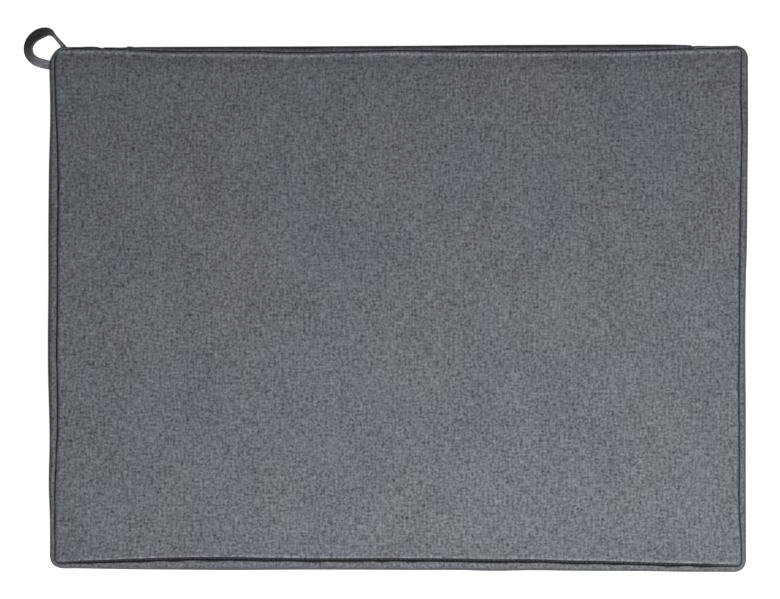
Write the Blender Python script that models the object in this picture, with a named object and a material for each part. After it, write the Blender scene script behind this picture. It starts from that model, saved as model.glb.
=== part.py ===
"""Garden kneeling pad: a foam slab in a sewn, zipped box cover, with a hanging loop at one corner.

Metres, +Z up. The pad lies flat on its base. The origin is the centre of the base's flat face, +X runs along
the pad's length and +Y points to the rear edge, which holds the zip. "Inset" is the distance inwards from the
fullest line of the side band, measured level, and it places every sewn edge.
"""

import math

import bmesh
import bpy
from mathutils import Matrix, Vector

# Overall sizes.
PAD_LENGTH = 0.400
PAD_WIDTH = 0.300
PAD_HEIGHT = 0.040
CORNER_RADIUS = 0.0075
LEAST_RADIUS = 0.0005

# Cover fabric and sewing.
FABRIC = 0.0008
GAP = 0.0003
SEAM_INSET = 0.0045
SEAM_DROP = 0.0030
SEAM_ALLOWANCE = 0.0090
TOP_ROLL = 0.026
BASE_ROLL = 0.016
THREAD = 0.0005
FOAM_STEP = 0.0010

# Zip in the rear band.
ZIP_LENGTH = 0.336
ZIP_OPENING = 0.0104
ZIP_RECESS = 0.0054
STRIP_EDGE_FLAT = 0.0002
ZIP_CLOSED_MARGIN = 0.010
ZIP_OPEN_MARGIN = 0.024
TAPE_THICKNESS = 0.0005
TAPE_SEAM_CLEARANCE = 0.0018
TAPE_TAIL = 0.008
COIL_HEIGHT = 0.0017
COIL_WIDTH = 0.0015
COIL_CHAMFER = 0.0004
SLOT_WIDTH = 0.0014
STOP_LENGTH = 0.0020

# Slider and pull tab.
SLIDER_LENGTH = 0.0080
SLIDER_HALF_WIDTH = 0.0033
PLATE = 0.0008
POST_LENGTH = 0.0018
POST_THICKNESS = 0.0008
FLANGE_WIDTH = 0.0007
FLANGE_DEPTH = 0.0014
LUG_OPENING = 0.0020
LUG_HEIGHT = 0.0015
LUG_FOOT = 0.0007
LUG_BAR = 0.0007
LUG_WIDTH = 0.0016
TAB_LENGTH = 0.0155
TAB_WIDTH = 0.0050
TAB_THICKNESS = 0.0009
TAB_RING_HOLE = 0.0024
LUG_CLEARANCE = 0.0005

# Hanging loop: the ribbon stands out from the rear left corner.
LOOP_RADIUS = 0.0091
LOOP_WIDTH = 0.0080
LOOP_ROOT_WIDTH = 0.0025
LOOP_THICKNESS = 0.0018
LOOP_CENTRE_OUT = 0.0030
LOOP_CENTRE_IN = 0.0010
LOOP_START_ANGLE = math.radians(5.0)
LOOP_END_ANGLE = math.radians(287.5)
LOOP_ROOT_CLEARANCE = 0.0011
LOOP_REAR_ROOT = 0.0087
LOOP_SIDE_ROOT = 0.0108
LOOP_TAPER = 0.0060

# Care label, laid on the inside of the base.
LABEL_LENGTH = 0.040
LABEL_WIDTH = 0.025
LABEL_THICKNESS = 0.0002
LABEL_INSET = 0.020

# Smoothness of the faceted shapes.
CORNER_STEPS = 5
ROLL_STEPS = 6
FOLD_STEPS = 4
BULGE_STEPS = 10
LOOP_STEPS = 36
ROUND_END_STEPS = 8

# Lengths that follow from the ones above.
MID_HEIGHT = PAD_HEIGHT / 2
SEAM_POCKET = THREAD + 2 * GAP
ZIP_HALF = ZIP_LENGTH / 2
CHAIN_START = -ZIP_HALF + ZIP_CLOSED_MARGIN
CHAIN_END = ZIP_HALF - ZIP_OPEN_MARGIN
ALLOWANCE_END = SEAM_INSET + SEAM_ALLOWANCE
LOOP_ROOT_INSET = SEAM_INSET - LOOP_ROOT_CLEARANCE


# ---------------------------------------------------------------- scene, materials and objects


def clear_scene():
    for obj in list(bpy.data.objects):
        bpy.data.objects.remove(obj, do_unlink=True)


def linear(channel):
    """One sRGB channel, 0 to 1, as linear light."""
    if channel <= 0.04045:
        return channel / 12.92
    return ((channel + 0.055) / 1.055) ** 2.4


def colour(hex_code):
    channels = [int(hex_code[i : i + 2], 16) / 255 for i in (0, 2, 4)]
    return (*[linear(c) for c in channels], 1.0)


def make_material(name, hex_code, roughness, metallic=0.0):
    material = bpy.data.materials.new(name)
    material.use_nodes = True
    shader = material.node_tree.nodes["Principled BSDF"]
    shader.inputs["Base Color"].default_value = colour(hex_code)
    shader.inputs["Roughness"].default_value = roughness
    shader.inputs["Metallic"].default_value = metallic
    material.diffuse_color = colour(hex_code)
    return material


def add_part(name, bm, material, origin=(0.0, 0.0, 0.0)):
    """Make the object of one piece. The bmesh is in pad coordinates, and the object's origin is set."""
    bmesh.ops.recalc_face_normals(bm, faces=bm.faces)
    bmesh.ops.translate(bm, verts=bm.verts, vec=-Vector(origin))
    mesh = bpy.data.meshes.new(name)
    bm.to_mesh(mesh)
    bm.free()
    mesh.materials.append(material)
    mesh.shade_smooth()
    mesh.set_sharp_from_angle(angle=math.radians(35))
    obj = bpy.data.objects.new(name, mesh)
    obj.location = origin
    bpy.context.scene.collection.objects.link(obj)
    return obj


# ---------------------------------------------------------------- outlines and sections


def corner_arc(centre, radius, start_angle):
    """Points of a quarter circle, anticlockwise from start_angle."""
    points = []
    for step in range(CORNER_STEPS + 1):
        angle = start_angle + math.pi / 2 * step / CORNER_STEPS
        points.append((centre[0] + radius * math.cos(angle), centre[1] + radius * math.sin(angle)))
    return points


def outline(inset, rear_inset=None):
    """The pad's rounded rectangle at an inset, anticlockwise from the rear right corner."""
    rear_inset = inset if rear_inset is None else rear_inset
    radius = max(CORNER_RADIUS - inset, LEAST_RADIUS)
    right = PAD_LENGTH / 2 - inset - radius
    front = -PAD_WIDTH / 2 + inset + radius
    rear = PAD_WIDTH / 2 - rear_inset - radius
    points = corner_arc((right, rear), radius, 0.0)
    points += corner_arc((-right, rear), radius, math.pi / 2)
    points += corner_arc((-right, front), radius, math.pi)
    points += corner_arc((right, front), radius, 3 * math.pi / 2)
    return points


def band_outline(inset, rear_end):
    """The outline without its rear middle: from the left end of the zip round to the right end."""
    points = outline(inset)
    corner = CORNER_STEPS + 1
    rear = PAD_WIDTH / 2 - inset
    return [(-rear_end, rear)] + points[corner:] + points[:corner] + [(rear_end, rear)]


def face_height(inset, roll):
    """How far a face's outer surface lies below its flat middle at an inset: it rolls down to the seam."""
    share = (roll - inset) / (roll - SEAM_INSET)
    return SEAM_DROP * max(share, 0.0) ** 2


def panel_path(roll):
    """Middle line of a face panel and its turned-in allowance, as (inset, depth below the flat middle)."""
    fold = (FABRIC + GAP) / 2
    fold_inset = SEAM_INSET + FABRIC / 2 + fold
    path = []
    for step in range(ROLL_STEPS + 1):
        inset = roll + (fold_inset - roll) * step / ROLL_STEPS
        path.append((inset, face_height(inset, roll) + FABRIC / 2))
    fold_depth = path[-1][1] + fold
    for step in range(1, FOLD_STEPS):
        angle = math.pi * step / FOLD_STEPS
        path.append((fold_inset - fold * math.sin(angle), fold_depth - fold * math.cos(angle)))
    for step in range(3):
        inset = fold_inset + (ALLOWANCE_END - fold_inset) * step / 2
        path.append((inset, face_height(inset, roll) + FABRIC / 2 + 2 * fold))
    return path


def band_allowance(roll):
    """Middle line of a band's allowance, from its raw edge out to the seam, as (inset, depth)."""
    stack = 2 * FABRIC + GAP + SEAM_POCKET + FABRIC / 2
    edge_inset = SEAM_INSET + FABRIC / 2
    return [
        (ALLOWANCE_END, face_height(ALLOWANCE_END, roll) + stack),
        (edge_inset, face_height(edge_inset, roll) + stack),
    ]


def seam_heights():
    """Height of the band's middle line where it meets the top and the base allowance."""
    return PAD_HEIGHT - band_allowance(TOP_ROLL)[1][1], band_allowance(BASE_ROLL)[1][1]


def side_inset(height):
    """Inset of the band's middle line at a height: it is fullest half-way between the two seams."""
    top, base = seam_heights()
    share = (height - (top + base) / 2) / ((top - base) / 2)
    return FABRIC / 2 + SEAM_INSET * share**2


def heights_of(path, top):
    """Turn (inset, depth) points into (inset, height) points for the top face or for the base."""
    return [(inset, PAD_HEIGHT - depth if top else depth) for inset, depth in path]


def offset_line(path, distance):
    """The path moved sideways by distance, with mitred corners."""
    points = [Vector(point) for point in path]
    moved = []
    for i, point in enumerate(points):
        before = (point - points[i - 1]).normalized() if i > 0 else None
        after = (points[i + 1] - point).normalized() if i + 1 < len(points) else None
        first = before or after
        second = after or before
        normal = (first.orthogonal() + second.orthogonal()).normalized()
        moved.append(point + normal * (distance / max(normal.dot(first.orthogonal()), 0.3)))
    return moved


def sheet_section(path, thickness):
    """Closed section of a sheet whose middle line is path."""
    one_side = offset_line(path, thickness / 2)
    other_side = offset_line(path, -thickness / 2)
    return [tuple(point) for point in one_side + other_side[::-1]]


# ---------------------------------------------------------------- solids


def join_rings(bm, rings, closed_rings, closed_stack):
    """Quads between neighbouring rings of points. Returns the rings as vertices."""
    rows = [[bm.verts.new(point) for point in ring] for ring in rings]
    pairs = list(zip(rows, rows[1:]))
    if closed_stack:
        pairs.append((rows[-1], rows[0]))
    for first, second in pairs:
        count = len(first)
        for i in range(count if closed_rings else count - 1):
            j = (i + 1) % count
            bm.faces.new((first[i], first[j], second[j], second[i]))
    return rows


def capped_stack(rings):
    """A solid from level outlines, closed by a flat face at each end."""
    bm = bmesh.new()
    rows = join_rings(bm, rings, closed_rings=True, closed_stack=False)
    bm.faces.new(rows[0])
    bm.faces.new(rows[-1])
    return bm


def panel_solid(top):
    path = heights_of(panel_path(TOP_ROLL if top else BASE_ROLL), top)
    section = sheet_section(path, FABRIC)
    rings = [[(x, y, height) for x, y in outline(inset)] for inset, height in section]
    return capped_stack(rings)


def band_solid(section, rear_end):
    """A strip with this section, swept round three sides of the pad, with a flat face at each end."""
    bm = bmesh.new()
    rings = [[(x, y, height) for x, y in band_outline(inset, rear_end)] for inset, height in section]
    rows = join_rings(bm, rings, closed_rings=False, closed_stack=True)
    bm.faces.new([row[0] for row in rows])
    bm.faces.new([row[-1] for row in rows])
    return bm


def rear_bar(section, start, end):
    """A straight bar along the rear edge, with a closed section of (inset, height) points."""
    rear = PAD_WIDTH / 2
    rings = [[(x, rear - inset, height) for inset, height in section] for x in (start, end)]
    return capped_stack(rings)


def rear_box(start, end, outer_inset, inner_inset, low, high):
    section = [(outer_inset, low), (inner_inset, low), (inner_inset, high), (outer_inset, high)]
    return rear_bar(section, start, end)


def united(name, blocks, material, origin):
    """One piece from overlapping blocks, joined by Boolean unions."""
    piece = add_part(name, blocks[0], material, origin)
    for number, block in enumerate(blocks[1:]):
        helper = add_part(f"{name}_block_{number}", block, material, origin)
        helper.hide_render = True
        helper.display_type = "WIRE"
        union = piece.modifiers.new(f"join {number}", "BOOLEAN")
        union.operation = "UNION"
        union.object = helper
    return piece


def thread_object(name, points, material, cyclic):
    """A stitched thread, as one continuous round bead."""
    curve = bpy.data.curves.new(name, "CURVE")
    curve.dimensions = "3D"
    curve.bevel_depth = THREAD / 2
    curve.bevel_resolution = 1
    curve.use_fill_caps = True
    spline = curve.splines.new("POLY")
    spline.points.add(len(points) - 1)
    for target, point in zip(spline.points, points):
        target.co = (*point, 1.0)
    spline.use_cyclic_u = cyclic
    curve.materials.append(material)
    obj = bpy.data.objects.new(name, curve)
    bpy.context.scene.collection.objects.link(obj)
    return obj


# ---------------------------------------------------------------- cover


def add_panels(material):
    add_part("top_panel", panel_solid(top=True), material)
    add_part("base_panel", panel_solid(top=False), material)


def add_side_band(material):
    top, base = seam_heights()
    path = heights_of(band_allowance(TOP_ROLL), top=True)
    for step in range(1, BULGE_STEPS):
        height = top + (base - top) * step / BULGE_STEPS
        path.append((side_inset(height), height))
    path += heights_of(band_allowance(BASE_ROLL), top=False)[::-1]
    add_part("side_band", band_solid(sheet_section(path, FABRIC), ZIP_HALF + SEAM_POCKET), material)


def zip_band_path(top):
    """The strip rolls out from the seam to the pad's full width, and back in to its edge on the zip tape."""
    top_height, base_height = seam_heights()
    seam_height = top_height if top else base_height
    edge_height = MID_HEIGHT + math.copysign(ZIP_OPENING / 2 + FABRIC / 2, seam_height - MID_HEIGHT)
    middle = (seam_height + edge_height) / 2
    half = (seam_height - edge_height) / 2
    tape_depth = ZIP_RECESS - GAP - STRIP_EDGE_FLAT - FABRIC / 2
    path = heights_of(band_allowance(TOP_ROLL if top else BASE_ROLL), top)[:1]
    for step in range(BULGE_STEPS + 1):
        angle = math.pi * step / BULGE_STEPS
        depth = SEAM_INSET if step < BULGE_STEPS / 2 else tape_depth
        path.append((FABRIC / 2 + depth * (1 - math.sin(angle)), middle + half * math.cos(angle)))
    path.append((ZIP_RECESS - GAP, edge_height))
    return path


def add_zip_bands(material):
    for name, top in (("zip_band_upper", True), ("zip_band_lower", False)):
        section = sheet_section(zip_band_path(top), FABRIC)
        add_part(name, rear_bar(section, -ZIP_HALF, ZIP_HALF), material)


def add_seam_threads(material):
    """One thread round each face, in the groove between the face's fold and the band's."""
    depth_under_face = 2 * FABRIC + GAP + SEAM_POCKET / 2
    inset = SEAM_INSET + FABRIC + GAP
    for name, top in (("top_seam_thread", True), ("base_seam_thread", False)):
        depth = face_height(inset, TOP_ROLL if top else BASE_ROLL) + depth_under_face
        height = heights_of([(inset, depth)], top)[0][1]
        points = [(x, y, height) for x, y in outline(inset)]
        thread_object(name, points, material, cyclic=True)


def add_end_threads(material):
    """One upright thread at each end of the zip panel, in the groove between it and the side band."""
    top, base = seam_heights()
    ends_clear = FABRIC + GAP
    low = base + ends_clear
    high = top - ends_clear
    for name, side in (("end_seam_thread_left", -1), ("end_seam_thread_right", 1)):
        points = []
        for step in range(BULGE_STEPS + 1):
            height = low + (high - low) * step / BULGE_STEPS
            rear = PAD_WIDTH / 2 - side_inset(height)
            points.append((side * (ZIP_HALF + SEAM_POCKET / 2), rear, height))
        thread_object(name, points, material, cyclic=False)


def add_care_label(material):
    left = -PAD_LENGTH / 2 + LABEL_INSET
    bm = bmesh.new()
    bmesh.ops.create_cube(bm, size=1.0)
    bmesh.ops.scale(bm, vec=(LABEL_WIDTH, LABEL_LENGTH, LABEL_THICKNESS), verts=bm.verts)
    centre = (left + LABEL_WIDTH / 2, 0.0, FABRIC + GAP + LABEL_THICKNESS / 2)
    bmesh.ops.translate(bm, vec=centre, verts=bm.verts)
    add_part("care_label", bm, material)


# ---------------------------------------------------------------- foam


def foam_edge(top):
    """(inset, height) points of the foam's outer surface, from its flat face to half height."""
    roll = TOP_ROLL if top else BASE_ROLL
    under_label = 0.0 if top else LABEL_THICKNESS + GAP
    cover = FABRIC + GAP + under_label
    raw_edge, seam_edge = band_allowance(roll)
    below_allowance = FABRIC / 2 + GAP
    flat_inset = max(roll, ALLOWANCE_END + 2 * FOAM_STEP)
    return heights_of(
        [
            (flat_inset, cover),
            (ALLOWANCE_END + FOAM_STEP, face_height(ALLOWANCE_END + FOAM_STEP, roll) + cover),
            (ALLOWANCE_END + FOAM_STEP, raw_edge[1] + below_allowance),
            (seam_edge[0] + FABRIC, seam_edge[1] + below_allowance + GAP),
        ],
        top,
    )


def add_foam_core(material):
    """The slab is cut back behind the zip, where the slider's inner plate runs."""
    inner = FABRIC / 2 + GAP
    upper = foam_edge(top=True)
    lower = foam_edge(top=False)
    section = list(upper)
    high = upper[-1][1]
    low = lower[-1][1]
    for step in range(1, BULGE_STEPS):
        height = high + (low - high) * step / BULGE_STEPS
        section.append((side_inset(height) + inner, height))
    section += lower[::-1]
    rear_inset = ZIP_RECESS + TAPE_THICKNESS + GAP + PLATE + GAP
    rings = []
    for inset, height in section:
        rings.append([(x, y, height) for x, y in outline(inset, max(inset, rear_inset))])
    add_part("foam_core", capped_stack(rings), material)


# ---------------------------------------------------------------- zip


def above(side, near, far):
    """Low and high of a stretch from near to far off the zip's middle, above it (+1) or below it (-1)."""
    return sorted((MID_HEIGHT + side * near, MID_HEIGHT + side * far))


def add_zip_tapes(material):
    """Both tapes reach from the slot to a set clearance below the nearer seam allowance."""
    top, base = seam_heights()
    far = min(top - MID_HEIGHT, MID_HEIGHT - base) - FABRIC / 2 - TAPE_SEAM_CLEARANCE
    for name, side in (("zip_tape_upper", 1), ("zip_tape_lower", -1)):
        low, high = above(side, SLOT_WIDTH / 2, far)
        end = ZIP_HALF + TAPE_TAIL
        bm = rear_box(-end, end, ZIP_RECESS, ZIP_RECESS + TAPE_THICKNESS, low, high)
        add_part(name, bm, material)


def add_zip_coils(material):
    outer = ZIP_RECESS - GAP - COIL_HEIGHT
    inner = ZIP_RECESS - GAP
    for name, side in (("zip_coil_upper", 1), ("zip_coil_lower", -1)):
        low, high = above(side, SLOT_WIDTH / 2, SLOT_WIDTH / 2 + COIL_WIDTH)
        section = [
            (outer + COIL_CHAMFER, low),
            (inner, low),
            (inner, high),
            (outer + COIL_CHAMFER, high),
            (outer, high - COIL_CHAMFER),
            (outer, low + COIL_CHAMFER),
        ]
        add_part(name, rear_bar(section, CHAIN_START, CHAIN_END), material)


def add_zip_stops(material):
    """A clamp on each half of the chain at the closed end, and one across both halves at the other end."""
    inner = ZIP_RECESS - GAP
    outer = inner - COIL_HEIGHT - GAP - PLATE
    start = CHAIN_START - GAP - STOP_LENGTH
    for name, side in (("zip_top_stop_upper", 1), ("zip_top_stop_lower", -1)):
        low, high = above(side, SLOT_WIDTH / 2, SLOT_WIDTH / 2 + COIL_WIDTH)
        add_part(name, rear_box(start, start + STOP_LENGTH, outer, inner, low, high), material)
    reach = SLOT_WIDTH / 2 + COIL_WIDTH
    start = CHAIN_END + GAP
    bm = rear_box(start, start + STOP_LENGTH, outer, inner, MID_HEIGHT - reach, MID_HEIGHT + reach)
    add_part("zip_bottom_stop", bm, material)


def add_zip_threads(material):
    """The stitch line along each strip's edge, where it holds the tape."""
    for name, side in (("zip_stitch_upper", 1), ("zip_stitch_lower", -1)):
        height = MID_HEIGHT + side * (ZIP_OPENING / 2 - GAP - THREAD / 2)
        rear = PAD_WIDTH / 2 - (ZIP_RECESS - GAP - THREAD / 2)
        points = [(-ZIP_HALF, rear, height), (ZIP_HALF, rear, height)]
        thread_object(name, points, material, cyclic=False)


def slider_planes():
    """Insets of the slider's faces: outer plate outside and inside, inner plate inside."""
    plate_inside = ZIP_RECESS - GAP - COIL_HEIGHT - GAP
    plate_outside = plate_inside - PLATE
    back_inside = ZIP_RECESS + TAPE_THICKNESS + GAP
    return plate_outside, plate_inside, back_inside


def hinge_place():
    """The pull tab's hinge: (x, y, z) of the middle of its crossbar, inside the slider's lug."""
    plate_outside = slider_planes()[0]
    x = CHAIN_START + GAP + SLIDER_LENGTH / 2
    return x, PAD_WIDTH / 2 - (plate_outside - LUG_HEIGHT / 2), MID_HEIGHT


def add_slider(material):
    """Two plates joined by a post that runs between the two halves of the chain, with a lug for the tab."""
    outside, inside, back = slider_planes()
    start = CHAIN_START + GAP
    end = start + SLIDER_LENGTH
    hinge_x = hinge_place()[0]
    low = MID_HEIGHT - SLIDER_HALF_WIDTH
    high = MID_HEIGHT + SLIDER_HALF_WIDTH
    post_low = MID_HEIGHT - POST_THICKNESS / 2
    post_high = MID_HEIGHT + POST_THICKNESS / 2
    bite = PLATE / 2
    blocks = [rear_box(start, end, outside, inside, low, high)]
    blocks.append(rear_box(start, end, back, back + PLATE, low, high))
    post_start = start + bite
    post_end = post_start + POST_LENGTH
    blocks.append(rear_box(post_start, post_end, inside - bite, back + bite, post_low, post_high))
    for side in (1, -1):
        near, far = above(side, SLIDER_HALF_WIDTH - FLANGE_WIDTH, SLIDER_HALF_WIDTH)
        blocks.append(rear_box(start, end, inside - bite, inside + FLANGE_DEPTH, near, far))
    lug_low = MID_HEIGHT - LUG_WIDTH / 2
    lug_high = MID_HEIGHT + LUG_WIDTH / 2
    bar_inside = outside - LUG_HEIGHT
    bar_outside = bar_inside - LUG_BAR
    foot_top = bar_inside - LUG_BAR / 2
    reach = LUG_OPENING / 2 + LUG_FOOT
    for foot in (hinge_x - reach, hinge_x + LUG_OPENING / 2):
        blocks.append(rear_box(foot, foot + LUG_FOOT, foot_top, outside + bite, lug_low, lug_high))
    blocks.append(rear_box(hinge_x - reach, hinge_x + reach, bar_outside, bar_inside, lug_low, lug_high))
    origin = (hinge_x, PAD_WIDTH / 2 - ZIP_RECESS, MID_HEIGHT)
    return united("zip_slider", blocks, material, origin)


def add_pull_tab(material, slider):
    """A flat tab with a round end. Its ring goes round the lug, and the ring's end bar is the hinge."""
    hinge = Vector(hinge_place())
    half = TAB_WIDTH / 2
    tip = hinge.x + TAB_LENGTH
    bar_start = hinge.x - TAB_THICKNESS / 2
    outline_points = [(bar_start, hinge.z + half), (bar_start, hinge.z - half)]
    for step in range(ROUND_END_STEPS + 1):
        angle = -math.pi / 2 + math.pi * step / ROUND_END_STEPS
        outline_points.append((tip - half + half * math.cos(angle), hinge.z + half * math.sin(angle)))
    faces = [hinge.y - TAB_THICKNESS / 2, hinge.y + TAB_THICKNESS / 2]
    rings = [[(x, y, z) for x, z in outline_points] for y in faces]
    tab = add_part("zip_pull_tab", capped_stack(rings), material, hinge)
    cutter_bm = bmesh.new()
    bmesh.ops.create_cube(cutter_bm, size=1.0)
    hole_half_height = LUG_WIDTH / 2 + LUG_CLEARANCE
    size = (TAB_RING_HOLE, 3 * TAB_THICKNESS, 2 * hole_half_height)
    bmesh.ops.scale(cutter_bm, vec=size, verts=cutter_bm.verts)
    middle = hinge + Vector((TAB_THICKNESS / 2 + TAB_RING_HOLE / 2, 0.0, 0.0))
    bmesh.ops.translate(cutter_bm, vec=middle, verts=cutter_bm.verts)
    cutter = add_part("zip_pull_tab_hole", cutter_bm, material, hinge)
    cutter.hide_render = True
    cutter.display_type = "WIRE"
    cut = tab.modifiers.new("ring hole", "BOOLEAN")
    cut.operation = "DIFFERENCE"
    cut.object = cutter
    for child in (tab, cutter):
        child.parent = slider
        child.location = hinge - slider.location
    return tab


# ---------------------------------------------------------------- hanging loop


def loop_roots():
    """The two ends of the ribbon: one at the rear edge and one at the left edge, both beside the corner."""
    left = -PAD_LENGTH / 2
    rear = PAD_WIDTH / 2
    height = PAD_HEIGHT - SEAM_DROP - FABRIC - GAP / 2 - LOOP_THICKNESS / 4
    rear_root = Vector((left + LOOP_REAR_ROOT, rear - LOOP_ROOT_INSET, height))
    side_root = Vector((left + LOOP_ROOT_INSET, rear - LOOP_SIDE_ROOT, height))
    return rear_root, side_root


def loop_path():
    """Middle line of the ribbon: out at the rear root, round most of a circle, in at the side root."""
    rear_root, side_root = loop_roots()
    centre = Vector((-PAD_LENGTH / 2 - LOOP_CENTRE_OUT, PAD_WIDTH / 2 - LOOP_CENTRE_IN, rear_root.z))
    path = [rear_root, rear_root.lerp(loop_point(centre, 0.0), 0.5)]
    for step in range(LOOP_STEPS + 1):
        path.append(loop_point(centre, step / LOOP_STEPS))
    path += [side_root.lerp(loop_point(centre, 1.0), 0.5), side_root]
    return path


def loop_point(centre, share):
    angle = LOOP_START_ANGLE + (LOOP_END_ANGLE - LOOP_START_ANGLE) * share
    return centre + Vector((math.cos(angle), math.sin(angle), 0.0)) * LOOP_RADIUS


def loop_tilt(share):
    """Angle of the ribbon's face from level, along its length: level at both roots and steep in between."""
    steep = math.radians(80.0)
    leaning = math.radians(58.0)
    rise = min(share / 0.10, 1.0)
    fall = min((1.0 - share) / 0.30, 1.0)
    middle = steep + (leaning - steep) * min(share / 0.40, 1.0)
    return middle * math.sin(rise * math.pi / 2) ** 2 * math.sin(fall * math.pi / 2) ** 2


def add_hang_loop(material):
    path = loop_path()
    lengths = [0.0]
    for first, second in zip(path, path[1:]):
        lengths.append(lengths[-1] + (second - first).length)
    total = lengths[-1]
    rings = []
    for i, point in enumerate(path):
        along = (path[min(i + 1, len(path) - 1)] - path[max(i - 1, 0)]).normalized()
        tilt = loop_tilt(lengths[i] / total)
        turn = Matrix.Rotation(tilt, 3, along)
        across = turn @ Vector((0.0, 0.0, 1.0)).cross(along)
        through = across.cross(along)
        from_root = min(lengths[i], total - lengths[i])
        share = min(from_root / LOOP_TAPER, 1.0)
        half_width = (LOOP_ROOT_WIDTH + (LOOP_WIDTH - LOOP_ROOT_WIDTH) * share) / 2
        half_thick = LOOP_THICKNESS / 2
        corners = ((1, 1), (-1, 1), (-1, -1), (1, -1))
        rings.append([point + across * half_width * a + through * half_thick * b for a, b in corners])
    rear_root, side_root = loop_roots()
    hinge = (rear_root + side_root) / 2 + Vector((0.0, 0.0, LOOP_THICKNESS / 2))
    add_part("hang_loop", capped_stack(rings), material, hinge)


# ---------------------------------------------------------------- whole pad


def main():
    clear_scene()
    fabric = make_material("melange_fabric", "62656b", 0.95)
    ribbon = make_material("loop_ribbon", "34353a", 0.90)
    tape = make_material("zip_tape", "3a3835", 0.85)
    nylon = make_material("zip_nylon", "2e2d2c", 0.45)
    thread = make_material("sewing_thread", "3c3e43", 0.70)
    metal = make_material("dark_zinc", "4a4b4e", 0.35, metallic=1.0)
    foam = make_material("foam", "cfcdc4", 0.95)
    label = make_material("label_satin", "e8e6e0", 0.60)

    add_panels(fabric)
    add_side_band(fabric)
    add_zip_bands(fabric)
    add_foam_core(foam)
    add_care_label(label)
    add_zip_tapes(tape)
    add_zip_coils(nylon)
    add_zip_stops(metal)
    add_zip_threads(thread)
    add_seam_threads(thread)
    add_end_threads(thread)
    slider = add_slider(metal)
    add_pull_tab(metal, slider)
    add_hang_loop(ribbon)


main()
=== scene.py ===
"""Kneeling pad: a slab of foam in a zipped, boxed cover of melange canvas, with a hanging loop.

Every piece is built in the frame of the CAD model and rides on one of its bodies.
"""

import contextlib
import functools
import math
import random

import bmesh
import bpy
import numpy as np
from mathutils import Matrix, Vector
from mathutils.kdtree import KDTree


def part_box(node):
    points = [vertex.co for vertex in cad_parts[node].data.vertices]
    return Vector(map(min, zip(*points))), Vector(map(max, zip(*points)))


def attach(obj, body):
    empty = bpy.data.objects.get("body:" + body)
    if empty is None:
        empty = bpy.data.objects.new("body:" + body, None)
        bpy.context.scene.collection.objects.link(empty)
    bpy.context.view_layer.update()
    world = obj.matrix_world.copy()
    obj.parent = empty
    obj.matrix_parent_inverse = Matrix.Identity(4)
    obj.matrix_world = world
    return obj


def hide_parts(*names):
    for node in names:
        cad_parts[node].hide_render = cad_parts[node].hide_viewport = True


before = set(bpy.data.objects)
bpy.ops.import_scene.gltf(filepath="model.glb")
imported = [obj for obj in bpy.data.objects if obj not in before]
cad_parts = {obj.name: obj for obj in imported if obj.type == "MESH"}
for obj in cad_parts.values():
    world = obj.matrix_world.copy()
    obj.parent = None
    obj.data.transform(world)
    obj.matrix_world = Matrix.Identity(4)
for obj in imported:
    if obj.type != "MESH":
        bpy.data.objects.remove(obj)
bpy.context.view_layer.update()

bl_info = {
    "name": "Kneeling Pad",
    "version": (1, 0, 0),
    "blender": (4, 5, 0),
    "location": "3D View > Sidebar > Kneeling Pad",
    "description": "Builds a zipped kneeling pad piece by piece on its CAD frame",
    "category": "Add Mesh",
}


# ---------------------------------------------------------------- sizes and colours


def linear_rgb(hex_code):
    """An sRGB hex colour as linear red, green and blue."""
    values = []
    for i in (0, 2, 4):
        channel = int(hex_code[i : i + 2], 16) / 255
        if channel <= 0.04045:
            values.append(channel / 12.92)
        else:
            values.append(((channel + 0.055) / 1.055) ** 2.4)
    return tuple(values)


def length(name, description, default):
    return bpy.props.FloatProperty(
        name=name, description=description, default=default, precision=5, unit="LENGTH"
    )


def colour(name, description, hex_code):
    return bpy.props.FloatVectorProperty(
        name=name, description=description, default=linear_rgb(hex_code), subtype="COLOR"
    )


TOP_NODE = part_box("top_panel")
BAND_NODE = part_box("side_band")
STRIP_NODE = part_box("zip_band_upper")


class PadSizes(bpy.types.PropertyGroup):
    """Sizes of the cover, its seams and the zip"""

    half_length: length(
        "Half length", "From the middle to the fullest line of the band", BAND_NODE[1][0]
    )
    half_width: length(
        "Half width", "From the middle to the fullest line of the band", -BAND_NODE[0][1]
    )
    height: length("Height", "From the floor to the kneeling face", TOP_NODE[1][2])
    corner: length("Corner radius", "Plan radius of the corners at the fullest line", 0.0085)
    seam_inset: length("Seam inset", "From the fullest line in to the seams", 0.0049)
    fabric: length("Fabric thickness", "Thickness of the cover fabric", 0.0008)
    roll: length("Face roll", "Width over which a face eases down to its seam", 0.020)
    drop: length("Face drop", "How far a face eases down at its seam", 0.00022)
    valley: length("Valley depth", "Dip just inside the ridge along a seam", 0.00016)
    zip_half: length(
        "Zip half length", "From the middle to the end of the zip strips", STRIP_NODE[1][0]
    )
    stitch: length("Stitch length", "Length of one lockstitch", 0.0028)
    thread: length("Thread thickness", "Thickness of the sewing thread", 0.0005)


class PadColours(bpy.types.PropertyGroup):
    """Colours of the fabric, ribbon, zip, thread, foam and label"""

    yarn_mid: colour("Yarn", "Main colour of the melange yarn", "696c72")
    yarn_dark: colour("Dark fibres", "Colour of the darkest slubs", "3c3e42")
    yarn_light: colour("Light fibres", "Colour of the lightest slubs", "84878d")
    ribbon: colour("Ribbon", "Colour of the hanging loop", "66686d")
    tape: colour("Zip tape", "Colour of the zip's woven tape", "3a3835")
    coil: colour("Zip coil", "Colour of the nylon coil", "2e2d2c")
    thread: colour("Thread", "Colour of the sewing thread", "3c3e43")
    zinc: colour("Zinc", "Colour of the plated slider and stops", "4a4b4e")
    foam: colour("Foam", "Colour of the foam slab", "cfcdc4")
    label: colour("Label", "Colour of the satin care label", "e8e6e0")


def sizes():
    return bpy.context.scene.pad_sizes


def colours():
    return bpy.context.scene.pad_colours


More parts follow.
